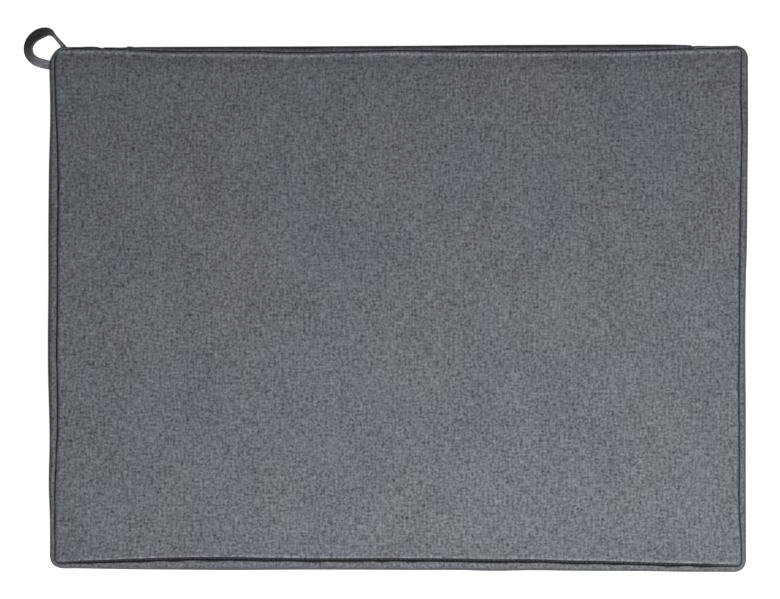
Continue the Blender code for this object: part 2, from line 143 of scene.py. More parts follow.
MM = 0.001
LIP = 1.2 * MM  # where a face's grid of squares ends and the turn into the seam begins
FINE_STEP = 0.40 * MM
WIDE_STEP = 3.2 * MM
PATH_STEP = 2.6 * MM
UV_NAME = "cloth"  # every cloth piece carries its own flat pattern, in metres
PAINTED_SHADING_NAME = "painted_shading"  # above 0 where a highlight is painted on, on the seams' ridges and the loop; below 0 where shade is painted on, down in the seams, under the lips, on the rim and on the loop
PAINTED_SHADING_REACH = 1.4
WAVE = 0.314  # the wave texture draws one band in this many of its units
YARN_RANGE = (0.59, 1.53)

BASE_GAIN = 0.45  # the base is pulled out of true by less than the top is

# The uneven waves that sewing leaves along the seams: (shortest, longest).
FACE_WAVE, FACE_RIPPLE, LIP_WAVE = (14 * MM, 60 * MM), (9 * MM, 30 * MM), (10 * MM, 45 * MM)
BAND_WAVE, BAND_RIPPLE = (13 * MM, 55 * MM), (7 * MM, 22 * MM)

# How far the sewn seam line, and the fullest line of the band, stand out from a true rectangle.
# Each row is a side: pairs of (place along the side, shift outwards), in millimetres.
SEAM_SWAY = {
    "rear": ((-171, 3.5), (-152, 2.9), (-134, 1.75), (-97, 1.75), (-79, 1.7), (-61, 1.0), (-42, 1.4),
             (-24, 1.55), (-6, 2.6), (13, 2.2), (31, 1.85), (49, 1.95), (68, 1.55), (86, 1.95),
             (123, 2.0), (141, 2.5), (159, 3.1), (178, 3.7), (190, 4.0)),
    "front": ((-185, 0.5), (-163, -0.35), (-141, -1.2), (-120, -1.75), (-98, -1.85), (-76, -1.45),
              (-54, -1.1), (-33, -1.05), (-11, -1.25), (33, -1.0), (54, -0.4), (76, -0.7), (98, 0.25),
              (120, 0.4), (141, 1.3), (163, 1.8), (185, 2.2)),
    "left": ((-133, 1.2), (-120, 1.4), (-100, 1.25), (-81, 0.2), (-61, -0.6), (-42, -0.1), (-22, 0.25),
             (0, -0.25), (36, -0.2), (62, -0.8), (90, -0.5), (125, 1.3)),
    "right": ((-131, 1.3), (-111, -0.45), (-92, 0.25), (-72, -0.05), (-33, -0.3), (-14, 0.4), (6, 0.0),
              (25, 0.2), (45, 0.6), (64, 0.6), (84, 1.45), (103, 1.6), (123, 0.65), (142, 1.4)),
}
EDGE_SWAY = {
    "rear": ((-185, -1.4), (-170, -1.4), (-155, -0.5), (-113, -0.3), (-56, -0.1), (1, 0.2), (58, 0.7),
             (150, 1.0), (165, 0.8), (178, -0.2), (190, 0.1)),
    "front": ((-185, -1.25), (-163, -0.3), (-141, 0.0), (-120, 0.1), (-98, 0.4), (-76, 0.2), (-54, 0.05),
              (-11, 0.15), (11, 0.35), (33, 0.2), (54, 0.95), (76, 0.35), (98, 0.75), (141, 0.9),
              (163, 1.3), (185, 1.3)),
    "left": ((-139, -0.8), (-120, -0.6), (-100, 0.4), (-81, -0.4), (-61, -0.1), (-42, 0.55), (-22, 0.75),
             (17, 0.35), (36, 0.5), (75, 0.2), (95, -0.2), (114, -1.1), (134, -0.1)),
    "right": ((-131, -0.65), (-92, -0.9), (-53, -0.75), (-33, -1.25), (-14, -1.45), (6, -1.1), (25, -0.25),
              (45, 0.2), (84, 0.4), (103, 0.7), (142, 0.5)),
}
# How much fuller, or more cut off, each corner is than a plain quarter circle, in millimetres.
CORNER_SWAY = {(-1, 1): -1.2, (1, 1): 0.7, (-1, -1): 1.1, (1, -1): 0.8}
CORNER_SPREAD = 5 * MM
SEAM_SPREAD = 30 * MM  # how far in from a seam a face is still pulled with it
SIDE_NORMALS = {"rear": (0, 1), "front": (0, -1), "left": (-1, 0), "right": (1, 0)}


# ---------------------------------------------------------------- shape of the cover


def smooth_table(rows, place):
    """Values of a sway table along a side, with its corners rounded off."""
    at = [row[0] * MM for row in rows]
    values = [row[1] * MM for row in rows]
    spread = (-9 * MM, -3 * MM, 3 * MM, 9 * MM)
    return sum(np.interp(place + offset, at, values) for offset in spread) / len(spread)


def side_terms(x, y):
    """For each side: its name, its outward direction, the place along it, and the depth behind its seam."""
    s = sizes()
    for name, (nx, ny) in SIDE_NORMALS.items():
        across = x * nx + y * ny
        along = x if ny else y
        half = s.half_width if ny else s.half_length
        other = s.half_length if ny else s.half_width
        yield name, nx, ny, along, half - s.seam_inset - across, other


def sway(x, y, share, gain=1.0):
    """Shift of the cover off its true rectangle. Share is 0 at the seams and 1 at the fullest line."""
    dx = np.zeros_like(x)
    dy = np.zeros_like(y)
    for name, nx, ny, along, depth, _ in side_terms(x, y):
        near = 1 / (1 + (np.maximum(depth, 0) / SEAM_SPREAD) ** 2)
        seam = smooth_table(SEAM_SWAY[name], along)
        edge = smooth_table(EDGE_SWAY[name], along)
        shift = (seam * (1 - share) + edge * share) * near * gain
        dx += nx * shift
        dy += ny * shift
    s = sizes()
    for (nx, ny), bulge in CORNER_SWAY.items():
        off = np.hypot(x * nx - s.half_length + 3 * MM, y * ny - s.half_width + 3 * MM)
        shift = bulge * MM * np.exp(-((off / CORNER_SPREAD) ** 2)) * gain * math.sqrt(0.5)
        dx += nx * shift
        dy += ny * shift
    return dx, dy


def ripple(seed, along, shortest, longest, count=7):
    """A smooth uneven wave along a seam, between about -1 and 1, the same on every run."""
    draw = random.Random(seed)
    total = np.zeros_like(along)
    for _ in range(count):
        wave = shortest * (longest / shortest) ** draw.random()
        phase = draw.random() * math.tau
        total += np.sin(along * math.tau / wave + phase) * draw.uniform(0.5, 1.0)
    return total / (0.75 * math.sqrt(count))


def seam_wave(seed, x, y, shortest, longest):
    """The wave of whichever seam is near, fading out at the corners."""
    total = np.zeros_like(x)
    for number, (_, _, _, along, depth, other) in enumerate(side_terms(x, y)):
        fade = np.clip((other - 12 * MM - np.abs(along)) / (14 * MM), 0, 1)
        near = np.exp(-((np.maximum(depth, 0) / (9 * MM)) ** 2))
        total += ripple(seed + number, along, shortest, longest) * fade * near
    return total


def face_drop(x, y):
    """How far a face lies below its flat middle, easing down to the seams on all four sides."""
    s = sizes()
    total = np.zeros_like(x)
    for _, _, _, _, depth, _ in side_terms(x, y):
        total += s.drop * np.clip(1 - depth / s.roll, 0, 1) ** 2
    return total


def ridge_drop(depth, valley):
    """The raised ridge over the turned-in allowance, and the dip just inside it."""
    dip = valley * np.exp(-(((depth - 4.3 * MM) / (1.5 * MM)) ** 2))
    lip = 0.30 * MM * np.clip((2.2 * MM - depth) / (1.0 * MM), 0, 3) ** 2
    return dip + lip


# The turn of a face into its seam, as (depth behind the seam, drop below the face), in millimetres.
LIP_TURN = (
    (0.85, 0.52), (0.55, 0.80), (0.30, 1.16), (0.12, 1.60), (0.02, 2.10), (0.00, 2.55),
    (0.08, 2.98), (0.32, 3.30), (0.75, 3.50), (1.6, 3.58), (4.5, 3.60), (8.8, 3.60),
)
# The band from its raw edge, out to the seam and over its shoulder: (depth behind the seam, drop).
BAND_TURN = (
    (8.8, 3.80), (4.5, 3.80), (1.4, 3.78), (0.45, 3.72), (0.0, 3.50), (-0.24, 3.05), (-0.36, 2.55),
    (-0.52, 2.05), (-0.76, 1.65), (-1.10, 1.38), (-1.50, 1.22), (-1.95, 1.18),
)
# A zip strip lies close against the face's ridge, a little lower than the band does.
STRIP_TURN = (
    (8.8, 3.80), (4.5, 3.80), (1.4, 3.78), (0.45, 3.74), (-0.02, 3.30), (-0.05, 2.80), (-0.10, 2.35),
    (-0.20, 1.98), (-0.42, 1.70), (-0.80, 1.56), (-1.20, 1.53),
)
SHOULDER_STEPS, SHOULDER_POWER = 15, 3.3
CORNER_STEPS = 10
GAPE = 0.45 * MM  # how far the groove along the front seam stands open
RIGHT_GAPE, LEFT_GAPE = 0.36, 0.24  # as shares of the front's
CORNER_GAPE = 0.45  # what is left of it at the front corners


def graded(half, corner):
    """Grid lines across a face: close together at the seams, wide apart in the middle."""
    gaps = [LIP]
    step = FINE_STEP
    while gaps[-1] < half:
        gaps.append(gaps[-1] + step)
        step = min(step * 1.13, WIDE_STEP)
    fixed = 2 * corner
    stretch = (half - fixed) / (gaps[-1] - fixed)
    gaps = [gap if gap < fixed else fixed + (gap - fixed) * stretch for gap in gaps]
    left = [gap - half for gap in gaps]
    return np.array(left + [-value for value in left[-2::-1]])


def round_corners(x, y, half_x, half_y, radius):
    """Pulls a grid's corner squares in to quarter circles. Returns x, y and the depth behind the seam."""
    reach = radius - LIP
    p = (np.abs(x) - (half_x - radius)) / reach
    q = (np.abs(y) - (half_y - radius)) / reach
    inside = (p > 0) & (q > 0)
    pc = np.clip(p, 0, 1)
    qc = np.clip(q, 0, 1)
    px = pc * np.sqrt(1 - qc**2 / 2)
    qy = qc * np.sqrt(1 - pc**2 / 2)
    new_x = np.where(inside, np.sign(x) * (half_x - radius + reach * px), x)
    new_y = np.where(inside, np.sign(y) * (half_y - radius + reach * qy), y)
    straight = np.minimum(half_x - np.abs(x), half_y - np.abs(y))
    depth = np.where(inside, radius - reach * np.hypot(px, qy), straight)
    return new_x, new_y, depth


def border_order(rows, columns):
    """Index pairs round a grid's border, anticlockwise from its first corner."""
    order = [(0, column) for column in range(columns - 1)]
    order += [(row, columns - 1) for row in range(rows - 1)]
    order += [(rows - 1, column) for column in range(columns - 1, 0, -1)]
    order += [(row, 0) for row in range(rows - 1, 0, -1)]
    return order


def mesh_object(name, points, faces, pattern=None, painted_shading=None):
    """A new mesh object at the origin, with a flat pattern in metres as its UV map, and its painted light and
    shade.
    """
    mesh = bpy.data.meshes.new(name)
    mesh.from_pydata([tuple(point) for point in points], [], faces)
    if pattern is not None:
        layer = mesh.uv_layers.new(name=UV_NAME)
        corners = np.empty(len(mesh.loops), np.int32)
        mesh.loops.foreach_get("vertex_index", corners)
        layer.data.foreach_set("uv", np.asarray(pattern, np.float32)[corners].ravel())
    if painted_shading is not None:
        layer = mesh.attributes.new(PAINTED_SHADING_NAME, "FLOAT", "POINT")
        layer.data.foreach_set("value", np.asarray(painted_shading, np.float32))
    mesh.shade_smooth()
    obj = bpy.data.objects.new(name, mesh)
    bpy.context.scene.collection.objects.link(obj)
    return obj


def grid_faces(rows, count, closed=False, turned=False):
    """Four-sided faces between neighbouring rows of points, with count points in each row."""
    faces = []
    for row in range(rows - 1):
        for i in range(count if closed else count - 1):
            a, b = row * count + i, row * count + (i + 1) % count
            quad = (a, a + count, b + count, b) if turned else (a, b, b + count, a + count)
            faces.append(quad)
    return faces


# The painted highlight along the ridge of a seam, by side: depth behind the seam, width (millimetres) and
# strength.
PAINTED_RIDGE_HIGHLIGHT = {
    "rear": (1.90, 0.85, 1.20),
    "front": (1.35, 0.60, 0.60),
    "left": (1.40, 0.70, 0.15),
    "right": (1.40, 0.70, 0.30),
}
PAINTED_VALLEY_SHADE = {"rear": 0.16, "front": 0.08, "left": 0.0, "right": 0.0}  # painted shade on the strip inside it
PAINTED_GROOVE_SHADE = (0.15, 1.25)  # painted shade: how dark any seam's groove is, and how much darker one that gapes


def ridge_painted_shading(x, y):
    """Painted light along the seams: a highlight on each ridge, strongest along the rear, and painted shade
    on the strip just inside it.
    """
    total = np.zeros_like(x)
    for name, _, _, _, depth, _ in side_terms(x, y):
        centre, width, strength = PAINTED_RIDGE_HIGHLIGHT[name]
        total += strength * np.exp(-(((depth / MM - centre) / width) ** 2))
        total -= PAINTED_VALLEY_SHADE[name] * np.exp(-(((depth / MM - 5.5) / 5.0) ** 2))
    return total


def groove_share(x, y, out_x, out_y):
    """How far the groove along a seam gapes: most at the front, not at the rear, and less at the corners."""
    s = sizes()
    fade_x = np.clip((s.half_length - 7 * MM - np.abs(x)) / (16 * MM), 0, 1)
    fade_y = np.clip((s.half_width - 7 * MM - np.abs(y)) / (16 * MM), 0, 1)
    front = np.maximum(-out_y, 0) ** 2 * (CORNER_GAPE + (1 - CORNER_GAPE) * fade_x)
    side = np.where(out_x > 0, RIGHT_GAPE, LEFT_GAPE) * out_x**2
    return front + side * np.where(y > 0, fade_y, CORNER_GAPE + (1 - CORNER_GAPE) * fade_y)


def face_sheet(name, top, seed):
    """One face of the cover with its turned-in allowance, as a single sheet."""
    s = sizes()
    gain = 1.0 if top else BASE_GAIN
    half_x = s.half_length - s.seam_inset
    half_y = s.half_width - s.seam_inset
    radius = s.corner - s.seam_inset
    xs = graded(half_x, radius)
    ys = graded(half_y, radius)
    flat_x, flat_y = np.meshgrid(xs, ys)
    x, y, depth = round_corners(flat_x, flat_y, half_x, half_y, radius)
    wave = seam_wave(seed, x, y, *FACE_WAVE)
    drop = face_drop(x, y) + ridge_drop(depth, s.valley * (1.1 + 0.9 * wave))
    drop += 0.10 * MM * seam_wave(seed + 20, x, y, *FACE_RIPPLE)
    dx, dy = sway(x, y, 0.0, gain)
    rows, columns = x.shape
    # Painted highlight on the seam ridges and painted shade just inside them.
    painted_shading = [ridge_painted_shading(x, y).ravel()]
    points = [np.stack([x + dx, y + dy, drop], -1).reshape(-1, 3)]
    pattern = [np.stack([x, y], -1).reshape(-1, 2)]
    faces = grid_faces(rows, columns)
    ring = np.array([row * columns + column for row, column in border_order(rows, columns)])
    bx, by, bdrop = x.ravel()[ring], y.ravel()[ring], drop.ravel()[ring]
    cx = np.clip(bx, radius - half_x, half_x - radius)
    cy = np.clip(by, radius - half_y, half_y - radius)
    out = np.stack([bx - cx, by - cy], -1)
    out /= np.maximum(np.linalg.norm(out, axis=1, keepdims=True), 1e-9)
    groove = groove_share(bx, by, out[:, 0], out[:, 1])
    lateral = 0.16 * MM * seam_wave(seed + 40, bx, by, *LIP_WAVE)
    lip_drop = float(ridge_drop(np.array(LIP), 0.0))
    before = (LIP, lip_drop)
    travelled = 0.0
    for turn_depth, turn_drop in LIP_TURN:
        turn_depth, turn_drop = turn_depth * MM, turn_drop * MM
        travelled += math.hypot(turn_depth - before[0], turn_drop - before[1])
        before = (turn_depth, turn_drop)
        push = (LIP - turn_depth + lateral * min(1.0, turn_drop / (2.0 * MM)))[:, None]
        place = np.stack([bx, by], -1) + out * push
        px, py = place[:, 0], place[:, 1]
        dx, dy = sway(px, py, 0.0, gain)
        level = bdrop + turn_drop - lip_drop
        start = sum(len(block) for block in points)
        points.append(np.stack([px + dx, py + dy, level], -1))
        pattern.append(np.stack([bx, by], -1) + out * travelled)
        # Painted shade down the lip into the groove, darker where the groove gapes; the ridge's painted
        # highlight reaches over the top of the lip.
        dark = np.clip((turn_drop / MM - 0.9 + 0.7 * groove) / 0.5, 0, 1)
        dark *= PAINTED_GROOVE_SHADE[0] + PAINTED_GROOVE_SHADE[1] * groove
        painted_shading.append(ridge_painted_shading(px, py) * (turn_drop < 1.3 * MM) - dark)
        lower = np.arange(start, start + len(bx))
        faces += np.stack([ring, lower, np.roll(lower, -1), np.roll(ring, -1)], -1).tolist()
        ring = lower
    points = np.concatenate(points)
    pattern = np.concatenate(pattern)
    points[:, 2] = s.height - points[:, 2] if top else points[:, 2]
    if not top:
        faces = [face[::-1] for face in faces]
        pattern[:, 0] *= -1
    return name, points, faces, pattern, np.concatenate(painted_shading)


def quarter_turn(steps, power):
    """A rounded quarter turn, fuller than a circle's: (share outwards, share down) at even steps."""
    for step in range(1, steps + 1):
        angle = math.pi / 2 * step / steps
        yield math.sin(angle) ** (2 / power), 1 - math.cos(angle) ** (2 / power)


def band_section():
    """The band's outer surface, top to base: rows of (inset, drop from the nearer face, 1 or -1 below)."""
    s = sizes()
    turn = [(s.seam_inset + depth * MM, drop * MM) for depth, drop in BAND_TURN]
    crest_inset, crest_drop = turn[-1]
    half = s.height / 2 - crest_drop
    for out, down in quarter_turn(SHOULDER_STEPS, SHOULDER_POWER):
        turn.append((crest_inset * (1 - out), crest_drop + half * down))
    upper = [(inset, drop, 1.0) for inset, drop in turn]
    lower = [(inset, drop, -1.0) for inset, drop in turn[-2::-1]]
    return upper + lower


def perimeter(step, zip_half):
    """The fullest line from the zip's left end round to its right end: points, outward directions, run."""
    s = sizes()
    radius = s.corner
    path = [((-zip_half, s.half_width), (0.0, 1.0))]

    def straight_to(end, out):
        start = path[-1][0]
        count = max(int(math.dist(start, end) / step), 1)
        for i in range(1, count + 1):
            share = i / count
            path.append((tuple(a + (b - a) * share for a, b in zip(start, end)), out))

    for nx, ny, quarter in ((-1, 1, 1), (-1, -1, 2), (1, -1, 3), (1, 1, 0)):
        cx, cy = nx * (s.half_length - radius), ny * (s.half_width - radius)
        for i in range(CORNER_STEPS + 1):
            angle = quarter * math.pi / 2 + math.pi / 2 * i / CORNER_STEPS
            out = (math.cos(angle), math.sin(angle))
            place = (cx + radius * out[0], cy + radius * out[1])
            if i:
                path.append((place, out))
            else:
                straight_to(place, out)
    straight_to((zip_half, s.half_width), (0.0, 1.0))
    points = np.array([point for point, _ in path])
    outs = np.array([out for _, out in path])
    gaps = np.linalg.norm(np.diff(points, axis=0), axis=1)
    return points, outs, np.concatenate([[0.0], np.cumsum(gaps)])


END_DEPTH, END_REACH = 0.45 * MM, 1.2 * MM  # how a strip's two ends turn in
SHADE_END, SHADE_FADE = 7.5 * MM, 3.5 * MM  # how far down a face's lip the painted shade on a strip reaches
RIM_DROP, RIM_ABOVE, RIM_BELOW = 3.7 * MM, 1.5 * MM, 2.2 * MM  # the painted shade on the rim over the shoulder


def swept_sheet(name, path, outs, run, section, seed, shade=0.0):
    """A strip of fabric with this section swept along a path, turned in at both ends."""
    s = sizes()
    rows, pattern, painted_shading = [], [], []
    travelled = 0.0
    before = section[0][:2]
    from_end = np.minimum(run - run[0], run[-1] - run)
    end_depth = END_DEPTH * np.clip(1 - from_end / END_REACH, 0, 1) ** 2
    groove = groove_share(path[:, 0], path[:, 1], outs[:, 0], outs[:, 1])
    wave = seam_wave(seed, path[:, 0], path[:, 1], *BAND_WAVE)
    short = seam_wave(seed + 30, path[:, 0], path[:, 1], *BAND_RIPPLE)
    seam_line = path - outs * s.seam_inset
    eased = face_drop(seam_line[:, 0], seam_line[:, 1])
    for inset, drop, side in section:
        travelled += math.hypot(inset - before[0], drop - before[1])
        before = (inset, drop)
        share = float(np.clip(1 - inset / s.seam_inset, 0, 1))
        weight = math.sin(math.pi * min(share * 1.15, 1.0)) if share > 0 else 0.0
        pull = (0.30 * wave + 0.14 * short) * MM * weight
        pull = pull + GAPE * groove * math.exp(-((share / 0.25) ** 2))
        place = path - outs * inset + outs * (pull - end_depth)[:, None]
        dx, dy = sway(place[:, 0], place[:, 1], share, 1.0 if side > 0 else BASE_GAIN)
        middle = (s.height / 2 - drop) / (s.height / 2)
        level = drop + eased * middle + 0.18 * MM * wave * weight
        z = s.height - level if side > 0 else level
        rows.append(np.stack([place[:, 0] + dx, place[:, 1] + dy, z], -1))
        pattern.append(np.stack([run, np.full(len(path), -travelled)], -1))
        # Painted shade down in the groove, under a face's lip, and on the rim that no light reaches.
        sunk = np.clip(((inset - s.seam_inset) / MM + 0.35 + 0.75 * groove) / 0.5, 0, 1)
        sunk *= PAINTED_GROOVE_SHADE[0] + PAINTED_GROOVE_SHADE[1] * groove
        tucked = shade * min(max((SHADE_END - drop) / SHADE_FADE, 0.0), 1.0)
        below = (drop - RIM_DROP) / (RIM_ABOVE if drop < RIM_DROP else RIM_BELOW)
        rim = math.exp(-(below**2)) * (1 - 0.6 * np.maximum(outs[:, 0], 0)) * (share > 0.5)
        painted_shading.append(-sunk - tucked - rim)
    faces = grid_faces(len(rows), len(path), turned=True)
    return name, np.concatenate(rows), faces, np.concatenate(pattern), np.concatenate(painted_shading)


STRIP_SHADE = 0.45  # painted shade on the zip strips, where they lie under the face's lip
BAND_PAST_ZIP = 0.5 * MM  # how far the band's ends stand from the strips' ends
ZIP_EDGE = 5.25 * MM  # from the zip's middle line to a strip's folded edge
ZIP_TUCK = 4.75 * MM  # how far in from the fullest line that edge lies


def strip_section(upper):
    """A zip strip's outer surface: from its allowance over the shoulder and back in to the tape."""
    s = sizes()
    turn = [(s.seam_inset + depth * MM, drop * MM, 1.0) for depth, drop in STRIP_TURN]
    crest_inset, crest_drop, _ = turn[-1]
    edge_drop = s.height / 2 - ZIP_EDGE
    middle = (crest_drop + edge_drop) / 2 + 0.4 * MM
    for out, down in quarter_turn(11, 2.6):
        turn.append((crest_inset * (1 - out), crest_drop + (middle - crest_drop) * down, 1.0))
    for down, back in quarter_turn(9, 2.2):
        turn.append((ZIP_TUCK * back, middle + (edge_drop - middle) * down, 1.0))
    return turn if upper else [(inset, drop, -1.0) for inset, drop, _ in turn]


# ---------------------------------------------------------------- stuffing the cover


# The shell's rings from the top seam to the base seam: (distance out, height), in millimetres.
SHELL_LEVELS = (
    (0.0, 37.0), (-4.4, 33.0), (-4.9, 26.5), (-4.9, 20.0), (-4.9, 13.5), (-4.4, 7.0), (0.0, 3.0)
)
CLOTH_SETTINGS = {
    "quality": 5, "mass": 0.2, "use_pressure": True, "uniform_pressure_force": 4.0,
    "tension_stiffness": 25, "compression_stiffness": 12, "shear_stiffness": 8, "bending_stiffness": 0.6,
    "vertex_group_shrink": "seams", "shrink_min": 0.0, "shrink_max": 0.012,
}
CLOTH_FRAMES = 20
SHELL_GRID = (61, 46)
SHELL_CORNER = 0.75  # how much of a ring's move reaches its corners


def stuffed_form():
    """A coarse closed shell of the cover, blown up by cloth simulation: its points and their moves."""
    s = sizes()
    xs = np.linspace(-s.half_length + s.seam_inset, s.half_length - s.seam_inset, SHELL_GRID[0])
    ys = np.linspace(-s.half_width + s.seam_inset, s.half_width - s.seam_inset, SHELL_GRID[1])
    bm = bmesh.new()
    sheets = ({}, {})
    for sheet, z in zip(sheets, (s.height, 0.0)):
        for j, y in enumerate(ys[1:-1], 1):
            for i, x in enumerate(xs[1:-1], 1):
                sheet[i, j] = bm.verts.new((x, y, z))
    order = [(column, row) for row, column in border_order(len(ys), len(xs))]
    rings = []
    for out, z in SHELL_LEVELS:
        ring = []
        for i, j in order:
            nx = (i == len(xs) - 1) - (i == 0)
            ny = (j == len(ys) - 1) - (j == 0)
            reach = out * MM * (SHELL_CORNER if nx and ny else 1.0)
            ring.append(bm.verts.new((xs[i] - nx * reach, ys[j] - ny * reach, z * MM)))
        rings.append(ring)
    for sheet, ring in zip(sheets, (rings[0], rings[-1])):
        sheet.update(zip(order, ring))
        for j in range(len(ys) - 1):
            for i in range(len(xs) - 1):
                face = [sheet[i, j], sheet[i + 1, j], sheet[i + 1, j + 1], sheet[i, j + 1]]
                bm.faces.new(face if ring is rings[0] else face[::-1])
    for upper, lower in zip(rings, rings[1:]):
        for k in range(len(order)):
            m = (k + 1) % len(order)
            bm.faces.new((upper[k], lower[k], lower[m], upper[m]))
    bm.verts.index_update()
    seam_verts = [vert.index for ring in (rings[0], rings[-1]) for vert in ring]
    mesh = bpy.data.meshes.new("stuffing_form")
    bm.to_mesh(mesh)
    bm.free()
    obj = bpy.data.objects.new("stuffing_form", mesh)
    bpy.context.scene.collection.objects.link(obj)
    before = np.array([vert.co[:] for vert in mesh.vertices])
    obj.vertex_groups.new(name="seams").add(seam_verts, 1.0, "REPLACE")
    cloth = obj.modifiers.new("stuffing", "CLOTH")
    for name, value in CLOTH_SETTINGS.items():
        setattr(cloth.settings, name, value)
    cloth.settings.effector_weights.gravity = 0.0
    cloth.point_cache.frame_start = 1
    cloth.point_cache.frame_end = CLOTH_FRAMES
    for number in range(1, CLOTH_FRAMES + 1):
        bpy.context.scene.frame_set(number)
    grown = obj.evaluated_get(bpy.context.evaluated_depsgraph_get()).to_mesh()
    after = np.array([vert.co[:] for vert in grown.vertices])
    bpy.context.scene.frame_set(1)
    bpy.data.objects.remove(obj, do_unlink=True)
    return before, after - before


SIDEWAYS = 0.2  # the sway tables hold the plan's own shifts, so little of the sideways swelling is kept
MOST_SWELL = 0.55 * MM
SWELL_SPREAD = 6.5 * MM


@functools.cache
def stuffing():
    """The simulated swelling, made once for all pieces of the cover."""
    places, moved = stuffed_form()
    size = np.linalg.norm(moved, axis=1, keepdims=True)
    moved = moved * MOST_SWELL * np.tanh(size / (4 * MOST_SWELL)) / np.maximum(size, 1e-9)
    moved[:, :2] *= SIDEWAYS
    tree = KDTree(len(places))
    for number, place in enumerate(places):
        tree.insert(place, number)
    tree.balance()
    return tree, moved


def swell(points):
    """Moves points of the cover with the simulated swelling round them."""
    tree, moved = stuffing()
    result = points.copy()
    for i, point in enumerate(points):
        found = tree.find_range(point, 2.4 * SWELL_SPREAD)
        if not found:
            continue
        numbers = [number for _, number, _ in found]
        weights = np.exp(-((np.array([gap for _, _, gap in found]) / SWELL_SPREAD) ** 2))
        result[i] += (moved[numbers] * weights[:, None]).sum(0) / weights.sum()
    result[:, 2] = np.maximum(result[:, 2], 0.0)
    return result


# ---------------------------------------------------------------- finishing a piece


def select_only(obj):
    bpy.ops.object.select_all(action="DESELECT")
    obj.select_set(True)
    bpy.context.view_layer.objects.active = obj


@contextlib.contextmanager
def editing(obj):
    """Edit mode on one object, with all of it selected."""
    select_only(obj)
    bpy.ops.object.mode_set(mode="EDIT")
    bpy.ops.mesh.select_all(action="SELECT")
    yield
    bpy.ops.object.mode_set(mode="OBJECT")


def add_modifier(obj, name, kind, **settings):
    modifier = obj.modifiers.new(name, kind)
    for setting, value in settings.items():
        setattr(modifier, setting, value)


def apply_modifiers(obj):
    select_only(obj)
    for modifier in list(obj.modifiers):
        bpy.ops.object.modifier_apply(modifier=modifier.name)


def thicken(obj, thickness):
    """Gives a sheet its thickness, inwards from its outer surface."""
    add_modifier(obj, "thickness", "SOLIDIFY", thickness=thickness, offset=-1.0, use_even_offset=False)
    apply_modifiers(obj)


def finish_piece(obj, body, slot, node):
    """Gives a piece the finish of its slot and its body, and puts it in the place of its CAD node."""
    obj.data.materials.clear()
    obj.data.materials.append(surface(*FINISHES[slot]))
    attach(obj, body)
    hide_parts(node)


# ---------------------------------------------------------------- materials


def add_node(tree, kind, inputs=None, output=0, **settings):
    """Adds one node with its settings and links. Inputs are values or other nodes' outputs."""
    node = tree.nodes.new(kind)
    for name, value in settings.items():
        setattr(node, name, value)
    for socket, value in (inputs or {}).items():
        if isinstance(value, bpy.types.NodeSocket):
            tree.links.new(value, node.inputs[socket])
        else:
            node.inputs[socket].default_value = value
    return node.outputs[output]


def surface(name, fixed, draw=None, relief=0.0):
    """A material made once. Fixed are the shader's own values; draw gives what is linked, and the relief."""
    if name in bpy.data.materials:
        return bpy.data.materials[name]
    material = bpy.data.materials.new(name)
    material.use_nodes = True
    tree = material.node_tree
    shader = tree.nodes["Principled BSDF"]
    for socket, value in fixed.items():
        shader.inputs[socket].default_value = value
    if draw:
        add = functools.partial(add_node, tree)
        linked, height = draw(add, colours())
        linked["Normal"] = add("ShaderNodeBump", {"Height": height, "Strength": 0.7, "Distance": relief * MM})
        for socket, value in linked.items():
            tree.links.new(value, shader.inputs[socket])
    return material


def rgba(value, gain=1.0):
    return (*(channel * gain for channel in value), 1.0)


def dyed(add, value, low, high, first, second):
    """A colour that goes from the first to the second as the pattern's value goes from low to high."""
    share = add("ShaderNodeMapRange", {"Value": value, "From Min": low, "From Max": high})
    return add("ShaderNodeMix", {0: share, 6: first, 7: second}, output=2, data_type="RGBA")


def with_painted_shading(add, cloth):
    """The cloth's colour, with the painted shade and painted highlights that its attribute holds."""
    painted_shading = add("ShaderNodeAttribute", output="Fac", attribute_name=PAINTED_SHADING_NAME)
    span = {"From Min": -PAINTED_SHADING_REACH, "From Max": PAINTED_SHADING_REACH, "To Min": 0.0, "To Max": 2.0}
    factor = add("ShaderNodeMapRange", {"Value": painted_shading, **span})
    return add("ShaderNodeVectorMath", {0: cloth, 1: factor}, operation="MULTIPLY")


